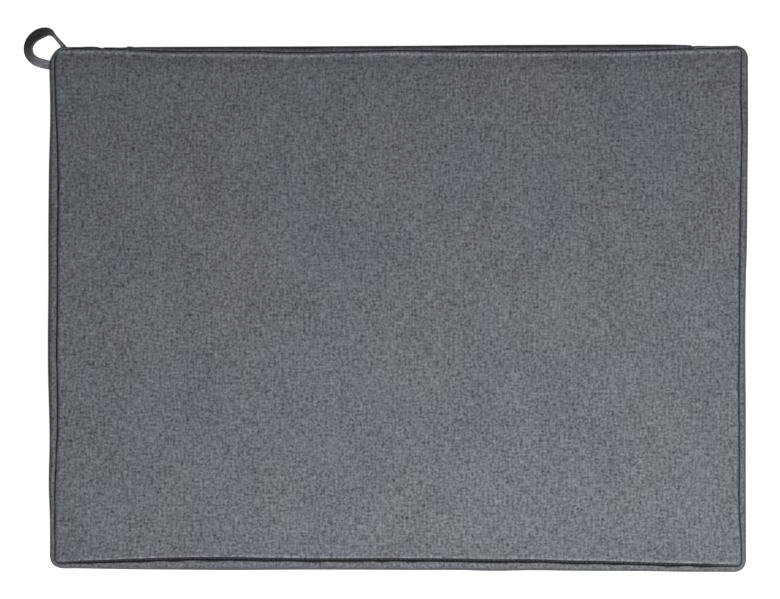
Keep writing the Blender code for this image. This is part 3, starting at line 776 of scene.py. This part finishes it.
def draw_melange_canvas(add, c):
    """Plain-woven polyester canvas of melange yarn: matt, flecked dark and light, with slubs both ways."""
    flat = add("ShaderNodeUVMap", output="UV", uv_map=UV_NAME)
    # Yarns 0.5 mm apart are too fine to show, so the flecks are drawn about three yarns wide.
    # Each row: length, height (mm), detail, share and shift of one noise. The last one only tints.
    rows = (
        (1.55, 1.5, 1.0, 1.00, 3.1),
        (1.4, 5.6, 0.5, 0.50, 11.7),
        (5.5, 1.4, 0.5, 0.42, 29.3),
        (26.0, 34.0, 2.0, 0.20, 47.9),
        (60.0, 90.0, 2.0, 0.0, 83.3),
    )
    total = 0.0
    flecks = []
    for long, high, detail, share, shift in rows:
        stretch = {"Location": (shift, shift * 0.7, 0), "Scale": (1000 / long, 1000 / high, 1)}
        place = add("ShaderNodeMapping", {"Vector": flat, **stretch})
        noise = {"Vector": place, "Scale": 1.0, "Detail": detail}
        flecks.append(add("ShaderNodeTexNoise", noise, noise_dimensions="2D"))
        total = add("ShaderNodeMath", {0: flecks[-1], 1: share, 2: total}, operation="MULTIPLY_ADD")
    # Together the noises average 1.06, so the yarn's own colour stands in the middle of the ramp.
    span = {"Value": total, "From Min": YARN_RANGE[0], "From Max": YARN_RANGE[1]}
    yarn = add("ShaderNodeValToRGB", {"Fac": add("ShaderNodeMapRange", span)})
    stops = yarn.node.color_ramp.elements
    stops[0].color = rgba(c.yarn_dark)
    stops[1].color = rgba(c.yarn_light)
    stops.new(0.52).color = rgba(c.yarn_mid)
    tint = dyed(add, flecks[4], 0.35, 0.65, (1.006, 1.0, 0.985, 1), (0.985, 1.0, 1.015, 1))
    # The painted highlights and painted shade go onto the yarn's colour here.
    yarn = with_painted_shading(add, add("ShaderNodeVectorMath", {0: yarn, 1: tint}, operation="MULTIPLY"))
    # Warp and weft stand about 0.1 mm proud, drawn two and a half times as coarse as they are.
    weave = 1.0
    for direction in "XY":
        bands = {"Vector": flat, "Scale": WAVE / (1.3 * MM), "Distortion": 0.6, "Detail": 1.0}
        bands = add("ShaderNodeTexWave", bands, bands_direction=direction)
        weave = add("ShaderNodeMath", {0: bands, 1: weave}, operation="MULTIPLY")
    height = add("ShaderNodeMath", {0: weave, 1: 0.3, 2: flecks[0]}, operation="MULTIPLY_ADD")
    height = add("ShaderNodeMath", {0: flecks[1], 1: 0.5, 2: height}, operation="MULTIPLY_ADD")
    return {"Base Color": yarn}, height


def draw_binding_tape(add, c):
    """Canvas binding folded lengthwise and pressed: cross ribs 0.8 mm apart, flecks, and painted highlights
    on the folded edges.
    """
    flat = add("ShaderNodeUVMap", output="UV", uv_map=UV_NAME)
    ribs = {"Vector": flat, "Scale": WAVE / (0.8 * MM), "Distortion": 0.8}
    ribs = add("ShaderNodeTexWave", ribs, bands_direction="X")
    flecks = add("ShaderNodeTexNoise", {"Vector": flat, "Scale": 1 / (1.6 * MM)})
    stretched = add("ShaderNodeMapping", {"Vector": flat, "Scale": (180, 900, 1)})
    slubs = add("ShaderNodeTexNoise", {"Vector": stretched, "Scale": 1.0})
    total = add("ShaderNodeMath", {0: flecks, 1: slubs}, operation="ADD")
    # The painted highlights and painted shade go onto the ribbon's colour here.
    cloth = with_painted_shading(add, dyed(add, total, 0.70, 1.30, rgba(c.ribbon, 0.55), rgba(c.ribbon, 1.5)))
    height = add("ShaderNodeMath", {0: ribs, 1: 0.6, 2: flecks}, operation="MULTIPLY_ADD")
    return {"Base Color": cloth}, height


def draw_zip_tape(add, c):
    """Woven polyester zip tape: ribs 0.6 mm apart, and a slight gloss on the flat filament yarn."""
    place = add("ShaderNodeTexCoord", output="Object")
    grain = add("ShaderNodeTexNoise", {"Vector": place, "Scale": 1 / (1.1 * MM)})
    height = 1.0
    for direction, spacing in (("Z", 0.62 * MM), ("X", 0.71 * MM)):
        bands = {"Vector": place, "Scale": WAVE / spacing, "Distortion": 0.3}
        bands = add("ShaderNodeTexWave", bands, bands_direction=direction)
        height = add("ShaderNodeMath", {0: bands, 1: height}, operation="MULTIPLY")
    height = add("ShaderNodeMath", {0: height, 1: grain}, operation="ADD")
    return {"Base Color": dyed(add, grain, 0.35, 0.65, rgba(c.tape, 0.7), rgba(c.tape, 1.3))}, height


def draw_nylon_coil(add, c):
    """Extruded nylon monofilament crimped into a coil: smooth, softly glossy and slightly cloudy."""
    place = add("ShaderNodeTexCoord", output="Object")
    cloud = add("ShaderNodeTexNoise", {"Vector": place, "Scale": 1 / (3.3 * MM)})
    fine = add("ShaderNodeTexNoise", {"Vector": place, "Scale": 1 / (0.4 * MM)})
    return {"Base Color": dyed(add, cloud, 0.35, 0.65, rgba(c.coil, 0.8), rgba(c.coil, 1.25))}, fine


def draw_spun_thread(add, c):
    """Three-ply spun polyester sewing thread: its plies wind round it 1.1 times a millimetre."""
    place = add("ShaderNodeTexCoord", output="Object")
    plies = {"Vector": place, "Scale": WAVE / (0.9 * MM), "Distortion": 0.3}
    plies = add("ShaderNodeTexWave", plies, bands_direction="DIAGONAL")
    fuzz = add("ShaderNodeTexNoise", {"Vector": place, "Scale": 1 / (0.55 * MM)})
    total = add("ShaderNodeMath", {0: plies, 1: fuzz}, operation="ADD")
    return {"Base Color": dyed(add, total, 0.5, 1.5, rgba(c.thread, 0.6), rgba(c.thread, 1.5))}, total


def draw_plated_zinc(add, c):
    """Die-cast zinc with a dark nickel plate: satin metal, cloudy from tumbling, with fine scuffs."""
    place = add("ShaderNodeTexCoord", output="Object")
    cloud = add("ShaderNodeTexNoise", {"Vector": place, "Scale": 1 / (2.4 * MM), "Detail": 3.0})
    stretched = add("ShaderNodeMapping", {"Vector": place, "Scale": (900, 4200, 2600)})
    scuff = add("ShaderNodeTexNoise", {"Vector": stretched, "Scale": 1.0})
    span = {"Value": scuff, "From Min": 0.3, "From Max": 0.7, "To Min": 0.28, "To Max": 0.48}
    tone = dyed(add, cloud, 0.35, 0.65, rgba(c.zinc, 1.1), rgba(c.zinc, 2.2))
    return {"Base Color": tone, "Roughness": add("ShaderNodeMapRange", span)}, scuff


def draw_open_cell_foam(add, c):
    """Open-cell polyurethane foam cut with a blade: matt, with cells 1.3 mm across."""
    place = add("ShaderNodeTexCoord", output="Object")
    cells = add("ShaderNodeTexVoronoi", {"Vector": place, "Scale": 1 / (1.3 * MM)}, output="Distance")
    cloud = add("ShaderNodeTexNoise", {"Vector": place, "Scale": 1 / (30 * MM)})
    total = add("ShaderNodeMath", {0: cells, 1: cloud}, operation="ADD")
    return {"Base Color": dyed(add, total, 0.5, 1.2, rgba(c.foam, 0.72), rgba(c.foam))}, cells


def draw_satin_label(add, c):
    """Polyester satin label tape: long floats across it give a soft sheen in one direction."""
    place = add("ShaderNodeTexCoord", output="Object")
    cloud = add("ShaderNodeTexNoise", {"Vector": place, "Scale": 1 / (17 * MM)})
    stretched = add("ShaderNodeMapping", {"Vector": place, "Scale": (900, 90, 900)})
    floats = add("ShaderNodeTexNoise", {"Vector": stretched, "Scale": 1.0})
    return {"Base Color": dyed(add, cloud, 0.35, 0.65, rgba(c.label, 0.9), rgba(c.label))}, floats


CLOTH = {"Roughness": 0.92, "Sheen Weight": 0.12, "Sheen Roughness": 0.6, "Specular IOR Level": 0.25}
# Each slot's material: its name, the shader's own values, what draws it, and its relief in millimetres.
FINISHES = {
    "cover_fabric": ("melange canvas", CLOTH, draw_melange_canvas, 0.20),
    "loop_ribbon": ("canvas binding tape", CLOTH, draw_binding_tape, 0.22),
    "zip_tape": ("woven zip tape", {"Roughness": 0.78}, draw_zip_tape, 0.12),
    "zip_nylon": ("nylon monofilament", {"Roughness": 0.36, "IOR": 1.53}, draw_nylon_coil, 0.02),
    "sewing_thread": ("spun polyester thread", {"Roughness": 0.75}, draw_spun_thread, 0.08),
    "dark_zinc": ("nickel-plated zinc", {"Metallic": 1.0}, draw_plated_zinc, 0.01),
    "foam": ("open-cell foam", {"Roughness": 0.95}, draw_open_cell_foam, 0.5),
    "label_satin": ("satin label tape", {"Roughness": 0.5, "Sheen Weight": 0.3}, draw_satin_label, 0.04),
}


# ---------------------------------------------------------------- operators


class CoverOperator(bpy.types.Operator):
    """Make the two faces, the side band and the two zip strips of the cover"""

    bl_idname = "pad.make_cover"
    bl_label = "Cover"

    def execute(self, context):
        s = sizes()
        sheets = [
            (face_sheet("cover_top_face", True, 100), "top_panel"),
            (face_sheet("cover_base_face", False, 200), "base_panel"),
        ]
        path, outs, run = perimeter(PATH_STEP, s.zip_half + BAND_PAST_ZIP)
        sheets.append((swept_sheet("cover_side_band", path, outs, run, band_section(), 300), "side_band"))
        close = np.arange(1, 4) * 0.5 * MM  # closer places near a strip's ends, where it turns in
        x = np.arange(-s.zip_half, s.zip_half + 1e-6, PATH_STEP)
        x = np.unique(np.concatenate([x, [s.zip_half], -s.zip_half + close, s.zip_half - close]))
        rear = np.stack([x, np.full_like(x, s.half_width)], -1)
        outs = np.tile([0.0, 1.0], (len(x), 1))
        for half in ("upper", "lower"):
            section = strip_section(half == "upper")
            sheet = list(swept_sheet("cover_zip_strip_" + half, rear, outs, x, section, 400, STRIP_SHADE))
            if half == "upper":
                sheet[2] = [face[::-1] for face in sheet[2]]
            sheets.append((sheet, "zip_band_" + half))
        for (name, points, faces, pattern, painted_shading), node in sheets:
            obj = mesh_object(name, swell(points), faces, pattern, painted_shading)
            thicken(obj, s.fabric)
            finish_piece(obj, "cover", "cover_fabric", node)
        return {"FINISHED"}


def copy_of_node(node, name, bevel):
    """A copy of a CAD node's mesh with its loose triangles merged and its edges rounded."""
    obj = bpy.data.objects.new(name, bpy.data.objects[node].data.copy())
    bpy.context.scene.collection.objects.link(obj)
    with editing(obj):
        bpy.ops.mesh.remove_doubles(threshold=0.02 * MM)
        bpy.ops.mesh.dissolve_limited(angle_limit=math.radians(2))
        bpy.ops.mesh.normals_make_consistent(inside=False)
    if bevel:
        add_modifier(obj, "rounding", "BEVEL", width=bevel, segments=3, angle_limit=math.radians(40))
        apply_modifiers(obj)
    bpy.ops.object.shade_smooth_by_angle(angle=math.radians(45))
    return obj


def stitch_template():
    """One lockstitch as it shows: a short plump length of thread with rounded ends, along x."""
    s = sizes()
    bpy.ops.object.select_all(action="DESELECT")
    bpy.ops.mesh.primitive_uv_sphere_add(segments=6, ring_count=6, radius=0.5)
    ball = bpy.context.active_object
    ball.rotation_euler = (0.0, math.pi / 2, 0.0)
    bpy.ops.object.transform_apply(location=False, rotation=True, scale=False)
    ball.scale = (s.stitch * 0.82, s.thread, s.thread * 0.9)
    bpy.ops.object.transform_apply(location=True, rotation=True, scale=True)
    points = np.array([vert.co[:] for vert in ball.data.vertices])
    faces = [tuple(face.vertices) for face in ball.data.polygons]
    bpy.data.objects.remove(ball, do_unlink=True)
    return points, faces


def copies(name, template, frames):
    """One mesh of many copies of a template, each at its own frame: (origin, x axis, y axis, z axis)."""
    points, faces = template
    all_points, all_faces = [], []
    for number, (origin, ax, ay, az) in enumerate(frames):
        all_points.append(origin + points[:, :1] * ax + points[:, 1:2] * ay + points[:, 2:] * az)
        shift = number * len(points)
        all_faces += [tuple(index + shift for index in face) for face in faces]
    return mesh_object(name, np.concatenate(all_points), all_faces)


def along_path(points, outs, step):
    """Places at equal steps along a path: (origin, direction, outward, up) for each."""
    gaps = np.linalg.norm(np.diff(points, axis=0), axis=1)
    run = np.concatenate([[0.0], np.cumsum(gaps)])
    count = int(run[-1] / step)
    frames = []
    for i in range(count):
        at = (i + 0.5) * run[-1] / count
        near = min(max(int(np.searchsorted(run, at)) - 1, 0), len(points) - 2)
        share = (at - run[near]) / max(run[near + 1] - run[near], 1e-9)
        origin = points[near] + (points[near + 1] - points[near]) * share
        ahead = points[near + 1] - points[near]
        ahead = ahead / np.linalg.norm(ahead)
        out = outs[near] - ahead * np.dot(outs[near], ahead)
        out = out / np.linalg.norm(out)
        frames.append((origin, ahead, out, np.cross(ahead, out)))
    return frames


def seam_path(top, depth, drop):
    """The seam of one face all the way round, at a depth behind its seam line and a drop below the face."""
    s = sizes()
    path, outs, _ = perimeter(PATH_STEP, 0.0)
    inner = path - outs * (s.seam_inset + depth)
    dx, dy = sway(inner[:, 0], inner[:, 1], 0.0, 1.0 if top else BASE_GAIN)
    level = drop + face_drop(inner[:, 0], inner[:, 1])
    z = s.height - level if top else level
    points = np.stack([inner[:, 0] + dx, inner[:, 1] + dy, z], -1)
    return swell(points), np.concatenate([outs, np.zeros((len(outs), 1))], 1)


END_SEAM_DEPTH = 0.62 * MM  # how far under the band's surface the end seams' thread lies


class SeamOperator(bpy.types.Operator):
    """Sew the stitches of the two face seams, the two end seams and the two zip edges"""

    bl_idname = "pad.make_seams"
    bl_label = "Seams"

    def execute(self, context):
        s = sizes()
        rearward = (0.0, 1.0, 0.0)
        rows = []
        for top, node in ((True, "top_seam_thread"), (False, "base_seam_thread")):
            name = "stitches_top_seam" if top else "stitches_base_seam"
            rows.append((name, node, *seam_path(top, -0.05 * MM, 3.0 * MM)))
        # The end seams follow the band down over its shoulder, from its crest to its fullest line.
        crest = len(BAND_TURN) - 1
        shoulder = band_section()[crest : crest + SHOULDER_STEPS + 1]
        shoulder = np.array([(inset, s.height - drop) for inset, drop, _ in reversed(shoulder)])
        for side, end in ((-1, "left"), (1, "right")):
            node = "end_seam_thread_" + end
            low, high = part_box(node)
            z = np.linspace(low[2] + 0.6 * MM, high[2] - 0.6 * MM, 24)
            x = np.full(24, side * (s.zip_half + BAND_PAST_ZIP / 2))
            mirrored = s.height / 2 + np.abs(z - s.height / 2)
            y = s.half_width - np.interp(mirrored, shoulder[:, 1], shoulder[:, 0]) - END_SEAM_DEPTH
            dx, dy = sway(x, y, 1.0)
            points = np.stack([x + dx, y + dy, z], -1)
            rows.append((f"stitches_{end}_end", node, points, np.tile(rearward, (24, 1))))
        for node in ("zip_stitch_upper", "zip_stitch_lower"):
            low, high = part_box(node)
            _, y, z = (Vector(low) + Vector(high)) / 2
            points = np.array([(low[0] + 1 * MM, y, z), (high[0] - 1 * MM, y, z)])
            rows.append((node + "_row", node, points, np.tile(rearward, (2, 1))))
        stitch = stitch_template()
        for name, node, points, outs in rows:
            obj = copies(name, stitch, along_path(points, outs, s.stitch))
            finish_piece(obj, "cover", "sewing_thread", node)
        return {"FINISHED"}


# The zip tape's relief across its width: (share from the coil out, depth in millimetres).
TAPE_PROFILE = (
    (0.0, 0.0), (0.06, 0.0), (0.12, 0.10), (0.22, 0.12), (0.30, 0.02), (0.55, 0.05), (0.9, 0.02), (1.0, 0.0)
)
COIL_PITCH = 1.30 * MM


class ZipOperator(bpy.types.Operator):
    """Make the zip's two tapes, its two rows of coil and its stops"""

    bl_idname = "pad.make_zip"
    bl_label = "Zip"

    def execute(self, context):
        for make, piece in ((self.make_tape, "zip_tape_"), (self.make_coil, "zip_coil_")):
            for half in ("upper", "lower"):
                make(piece + half, half == "upper")
        for node in ("zip_top_stop_upper", "zip_top_stop_lower", "zip_bottom_stop"):
            obj = copy_of_node(node, node + "_clamp", 0.22 * MM)
            finish_piece(obj, "cover", "dark_zinc", node)
        return {"FINISHED"}

    def make_tape(self, node, upper):
        """One woven tape, with a soft bead next to the coil and a slight wave along it."""
        low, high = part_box(node)
        x = np.linspace(low[0], high[0], 120)
        near, far = (low[2], high[2]) if upper else (high[2], low[2])
        rows = []
        for share, sunk in TAPE_PROFILE:
            y = high[1] - sunk * MM + 0.05 * MM * np.sin(x * math.tau / 0.047 + share * 3)
            rows.append(np.stack([x, y - 0.05 * MM, np.full_like(x, near + (far - near) * share)], -1))
        faces = grid_faces(len(rows), len(x))
        if upper:
            faces = [face[::-1] for face in faces]
        points = np.concatenate(rows)
        obj = mesh_object(node + "_cloth", points, faces, points[:, [0, 2]])
        thicken(obj, 0.4 * MM)
        finish_piece(obj, "cover", "zip_tape", node)

    def make_coil(self, node, upper):
        """One turn of the coil, copied along the zip. The lower row stands half a pitch on."""
        low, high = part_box(node)
        z = sizes().height / 2 + (1.08 * MM if upper else -1.08 * MM)
        centre = (low[0] + 0.45 * MM + (0.0 if upper else COIL_PITCH / 2), (low[1] + high[1]) / 2, z)
        bpy.ops.object.select_all(action="DESELECT")
        bpy.ops.mesh.primitive_torus_add(
            major_segments=12, minor_segments=6, major_radius=0.72 * MM, minor_radius=0.26 * MM,
            location=centre, rotation=(0.0, math.pi / 2, 0.0),
        )
        coil = bpy.context.active_object
        coil.name = node + "_turns"
        bpy.ops.object.transform_apply(location=True, rotation=True, scale=True)
        with editing(coil):
            bpy.ops.transform.resize(value=(1.0, 0.86, 1.22), center_override=centre)
        count = int((high[0] - centre[0] - 0.3 * MM) / COIL_PITCH) + 1
        add_modifier(
            coil, "turns", "ARRAY", count=count, use_relative_offset=False, use_constant_offset=True,
            constant_offset_displace=(COIL_PITCH, 0.0, 0.0),
        )
        apply_modifiers(coil)
        coil.data.shade_smooth()
        finish_piece(coil, "cover", "zip_nylon", node)


class SliderOperator(bpy.types.Operator):
    """Make the zip's slider and its pull tab"""

    bl_idname = "pad.make_slider"
    bl_label = "Slider"

    def execute(self, context):
        for node, body in (("zip_slider", "slider"), ("zip_pull_tab", "pull_tab")):
            obj = copy_of_node(node, node + "_cast", 0.16 * MM)
            finish_piece(obj, body, "dark_zinc", node)
        return {"FINISHED"}


LOOP_HEIGHT = 35.55 * MM
# The loop from its root in the rear seam round to its root in the side seam. Each row: place in plan
# from the middle of the pad, tilt off the flat in degrees, width of the folded tape, and painted light: a
# highlight above 0, shade below 0.
LOOP_LINE = (
    (-190.0, 146.4, 50, 4.2, 0.1), (-191.8, 150.2, 80, 6.4, 0.1), (-194.2, 152.9, 86, 7.4, 0.1),
    (-196.6, 155.8, 86, 7.8, 0.0), (-199.4, 158.2, 66, 8.6, -0.7), (-203.4, 157.6, 52, 9.0, -0.9),
    (-207.4, 155.7, 51, 9.0, -0.9), (-210.5, 152.4, 53, 8.4, -0.9), (-211.8, 148.6, 54, 7.8, -0.8),
    (-210.8, 144.2, 50, 6.9, -0.3), (-207.4, 141.1, 42, 6.1, 0.5), (-203.4, 139.8, 30, 5.5, 0.9),
    (-199.7, 139.0, 18, 5.1, 0.7), (-196.0, 138.5, 12, 4.8, 0.2),
)


def loop_ribbon_frames():
    """Middle points of the folded tape with its two cross directions, its width and the length so far."""
    rows = np.array(LOOP_LINE)
    for _ in range(3):
        # Corner cutting: each round doubles the points and rounds the line.
        cut = [rows[0]]
        for a, b in zip(rows, rows[1:]):
            cut += [a * 0.75 + b * 0.25, a * 0.25 + b * 0.75]
        rows = np.array(cut + [rows[-1]])
    points = [Vector((row[0] * MM, row[1] * MM, LOOP_HEIGHT)) for row in rows]
    frames = []
    run = 0.0
    for i, (point, row) in enumerate(zip(points, rows)):
        if i:
            run += (point - points[i - 1]).length
        ahead = (points[min(i + 1, len(points) - 1)] - points[max(i - 1, 0)]).normalized()
        turn = Matrix.Rotation(math.radians(row[2]), 3, ahead)
        across = turn @ Vector((0.0, 0.0, 1.0)).cross(ahead)
        frames.append((point, across, across.cross(ahead), row[3] * MM, run, row[4]))
    return frames


# Half of the folded ribbon's cross-section, as (across, through) shares of half its width and thickness.
RIBBON_SECTION = (
    (-0.80, 1.00), (-0.40, 0.97), (0.0, 0.95), (0.40, 0.97), (0.80, 1.00), (0.92, 0.93), (0.985, 0.70),
    (1.00, 0.42), (0.985, 0.20), (0.93, 0.05),
)


class LoopOperator(bpy.types.Operator):
    """Make the hanging loop of folded tape at the rear left corner"""

    bl_idname = "pad.make_loop"
    bl_label = "Hanging loop"

    def execute(self, context):
        section = [*RIBBON_SECTION, *((a, -b) for a, b in RIBBON_SECTION[::-1])]
        section += [(-a, -b) for a, b in RIBBON_SECTION[5:]]
        section += [(-a, b) for a, b in RIBBON_SECTION[:4:-1]]
        points, pattern, painted_shading = [], [], []
        frames = loop_ribbon_frames()
        for centre, across, through, width, run, painted_light_level in frames:
            lumps = 1 + 0.05 * math.sin(run * math.tau / 0.0065) + 0.04 * math.sin(run * math.tau / 0.0027)
            for a, b in section:
                point = centre + across * (a * width / 2) + through * (b * 0.85 * MM * lumps)
                points.append(point[:])
                pattern.append((run, a * width / 2 + (0.02 if b < 0 else 0.0)))
                # Painted highlight on the folded edges, painted shade in the crease.
                painted_fold_shading = 0.5 if abs(a) > 0.95 and abs(b) > 0.15 else (-0.3 if abs(b) < 0.1 else 0.0)
                painted_shading.append(painted_light_level + painted_fold_shading)
        count = len(section)
        faces = grid_faces(len(frames), count, closed=True, turned=True)
        faces.append(tuple(range(count)))
        faces.append(tuple(range(len(points) - 1, len(points) - 1 - count, -1)))
        obj = mesh_object("hanging_loop_tape", points, faces, pattern, painted_shading)
        with editing(obj):
            bpy.ops.mesh.normals_make_consistent(inside=False)
        bpy.ops.object.shade_smooth_by_angle(angle=math.radians(50))
        finish_piece(obj, "hang_loop", "loop_ribbon", "hang_loop")
        return {"FINISHED"}


class FoamOperator(bpy.types.Operator):
    """Make the foam slab and the care label that lies inside the cover"""

    bl_idname = "pad.make_filling"
    bl_label = "Foam and label"

    def execute(self, context):
        slab = copy_of_node("foam_core", "foam_slab", 0.0)
        add_modifier(slab, "even faces", "REMESH", mode="VOXEL", voxel_size=5 * MM, use_smooth_shade=True)
        add_modifier(slab, "eased edges", "SMOOTH", factor=0.5, iterations=3)
        apply_modifiers(slab)
        with editing(slab):  # a little clear of the cover all round
            middle = (0.0, 0.0, sizes().height / 2)
            bpy.ops.transform.resize(value=(0.986, 0.982, 0.965), center_override=middle)
        finish_piece(slab, "cover", "foam", "foam_core")
        low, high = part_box("care_label")
        bpy.ops.object.select_all(action="DESELECT")
        bpy.ops.mesh.primitive_grid_add(
            x_subdivisions=20, y_subdivisions=32, size=1.0,
            location=((low[0] + high[0]) / 2, (low[1] + high[1]) / 2, high[2]),
        )
        label = context.active_object
        label.name = "care_label_satin"
        label.scale = (high[0] - low[0], high[1] - low[1], 1.0)
        bpy.ops.object.transform_apply(location=True, rotation=True, scale=True)
        for vert in label.data.vertices:
            wave = math.sin(vert.co.y * math.tau / 0.031) * math.sin(vert.co.x * math.tau / 0.043)
            vert.co.z += 0.03 * MM * wave - 0.04 * MM
        thicken(label, 0.15 * MM)
        finish_piece(label, "cover", "label_satin", "care_label")
        return {"FINISHED"}


FLOOR_DROP = 0.6 * MM  # the floor lies this far below the base, so that they don't flicker
FLOOR_GLOW = 0.93
WORLD_STRENGTH = 0.17
SOFTBOX_SIZE, SOFTBOX_POWER, SOFTBOX_PLACE = 0.50, 5.25, (0.13, -0.31, 0.62)
VIEW_DISTANCE = 8.0
VIEW_WIDTH = 446.991 * MM  # how much the camera takes in along the pad
VIEW_CENTRE = (-4.6 * MM, 4.9 * MM)


class StageOperator(bpy.types.Operator):
    """Make the floor, the lights and the camera"""

    bl_idname = "pad.make_stage"
    bl_label = "Stage"

    def execute(self, context):
        scene = context.scene
        bpy.ops.object.select_all(action="DESELECT")
        bpy.ops.mesh.primitive_plane_add(size=14.0, location=(0, 0, -FLOOR_DROP))
        floor = context.active_object
        floor.name = "floor"
        paper = {"Base Color": (0.85, 0.85, 0.85, 1), "Roughness": 0.9}
        glow = {"Emission Color": (1, 1, 1, 1), "Emission Strength": FLOOR_GLOW}
        floor.data.materials.append(surface("matt white paper", {**paper, **glow}))
        floor.visible_diffuse = False
        scene.world = bpy.data.worlds.new("studio")
        scene.world.use_nodes = True
        background = scene.world.node_tree.nodes["Background"]
        background.inputs["Color"].default_value = (1, 1, 1, 1)
        background.inputs["Strength"].default_value = WORLD_STRENGTH
        softbox = bpy.data.lights.new("softbox", "AREA")
        softbox.shape = "SQUARE"
        softbox.size = SOFTBOX_SIZE
        softbox.energy = SOFTBOX_POWER
        light = bpy.data.objects.new("softbox", softbox)
        light.location = SOFTBOX_PLACE
        light.visible_camera = False
        scene.collection.objects.link(light)
        camera = bpy.data.cameras.new("camera")
        camera.sensor_width = 36.0
        camera.lens = camera.sensor_width * VIEW_DISTANCE / VIEW_WIDTH
        camera.clip_end = 100
        scene.camera = bpy.data.objects.new("camera", camera)
        scene.camera.location = (*VIEW_CENTRE, VIEW_DISTANCE + 0.02)
        scene.collection.objects.link(scene.camera)
        scene.view_settings.view_transform = "Standard"
        return {"FINISHED"}


OPERATORS = (
    CoverOperator, SeamOperator, ZipOperator, SliderOperator, LoopOperator, FoamOperator, StageOperator
)


class PadPanel(bpy.types.Panel):
    """The pieces of the kneeling pad, in the order they are made"""

    bl_idname = "VIEW3D_PT_kneeling_pad"
    bl_label = "Kneeling Pad"
    bl_space_type = "VIEW_3D"
    bl_region_type = "UI"
    bl_category = "Kneeling Pad"

    def draw(self, context):
        for operator in OPERATORS:
            self.layout.operator(operator.bl_idname)


CLASSES = (PadSizes, PadColours, *OPERATORS, PadPanel)


def register():
    for cls in CLASSES:
        bpy.utils.register_class(cls)
    bpy.types.Scene.pad_sizes = bpy.props.PointerProperty(type=PadSizes)
    bpy.types.Scene.pad_colours = bpy.props.PointerProperty(type=PadColours)


def unregister():
    del bpy.types.Scene.pad_colours
    del bpy.types.Scene.pad_sizes
    for cls in reversed(CLASSES):
        bpy.utils.unregister_class(cls)


def main():
    register()
    bpy.ops.pad.make_cover()
    bpy.ops.pad.make_seams()
    bpy.ops.pad.make_zip()
    bpy.ops.pad.make_slider()
    bpy.ops.pad.make_loop()
    bpy.ops.pad.make_filling()
    bpy.ops.pad.make_stage()


if __name__ == "__main__":
    main()
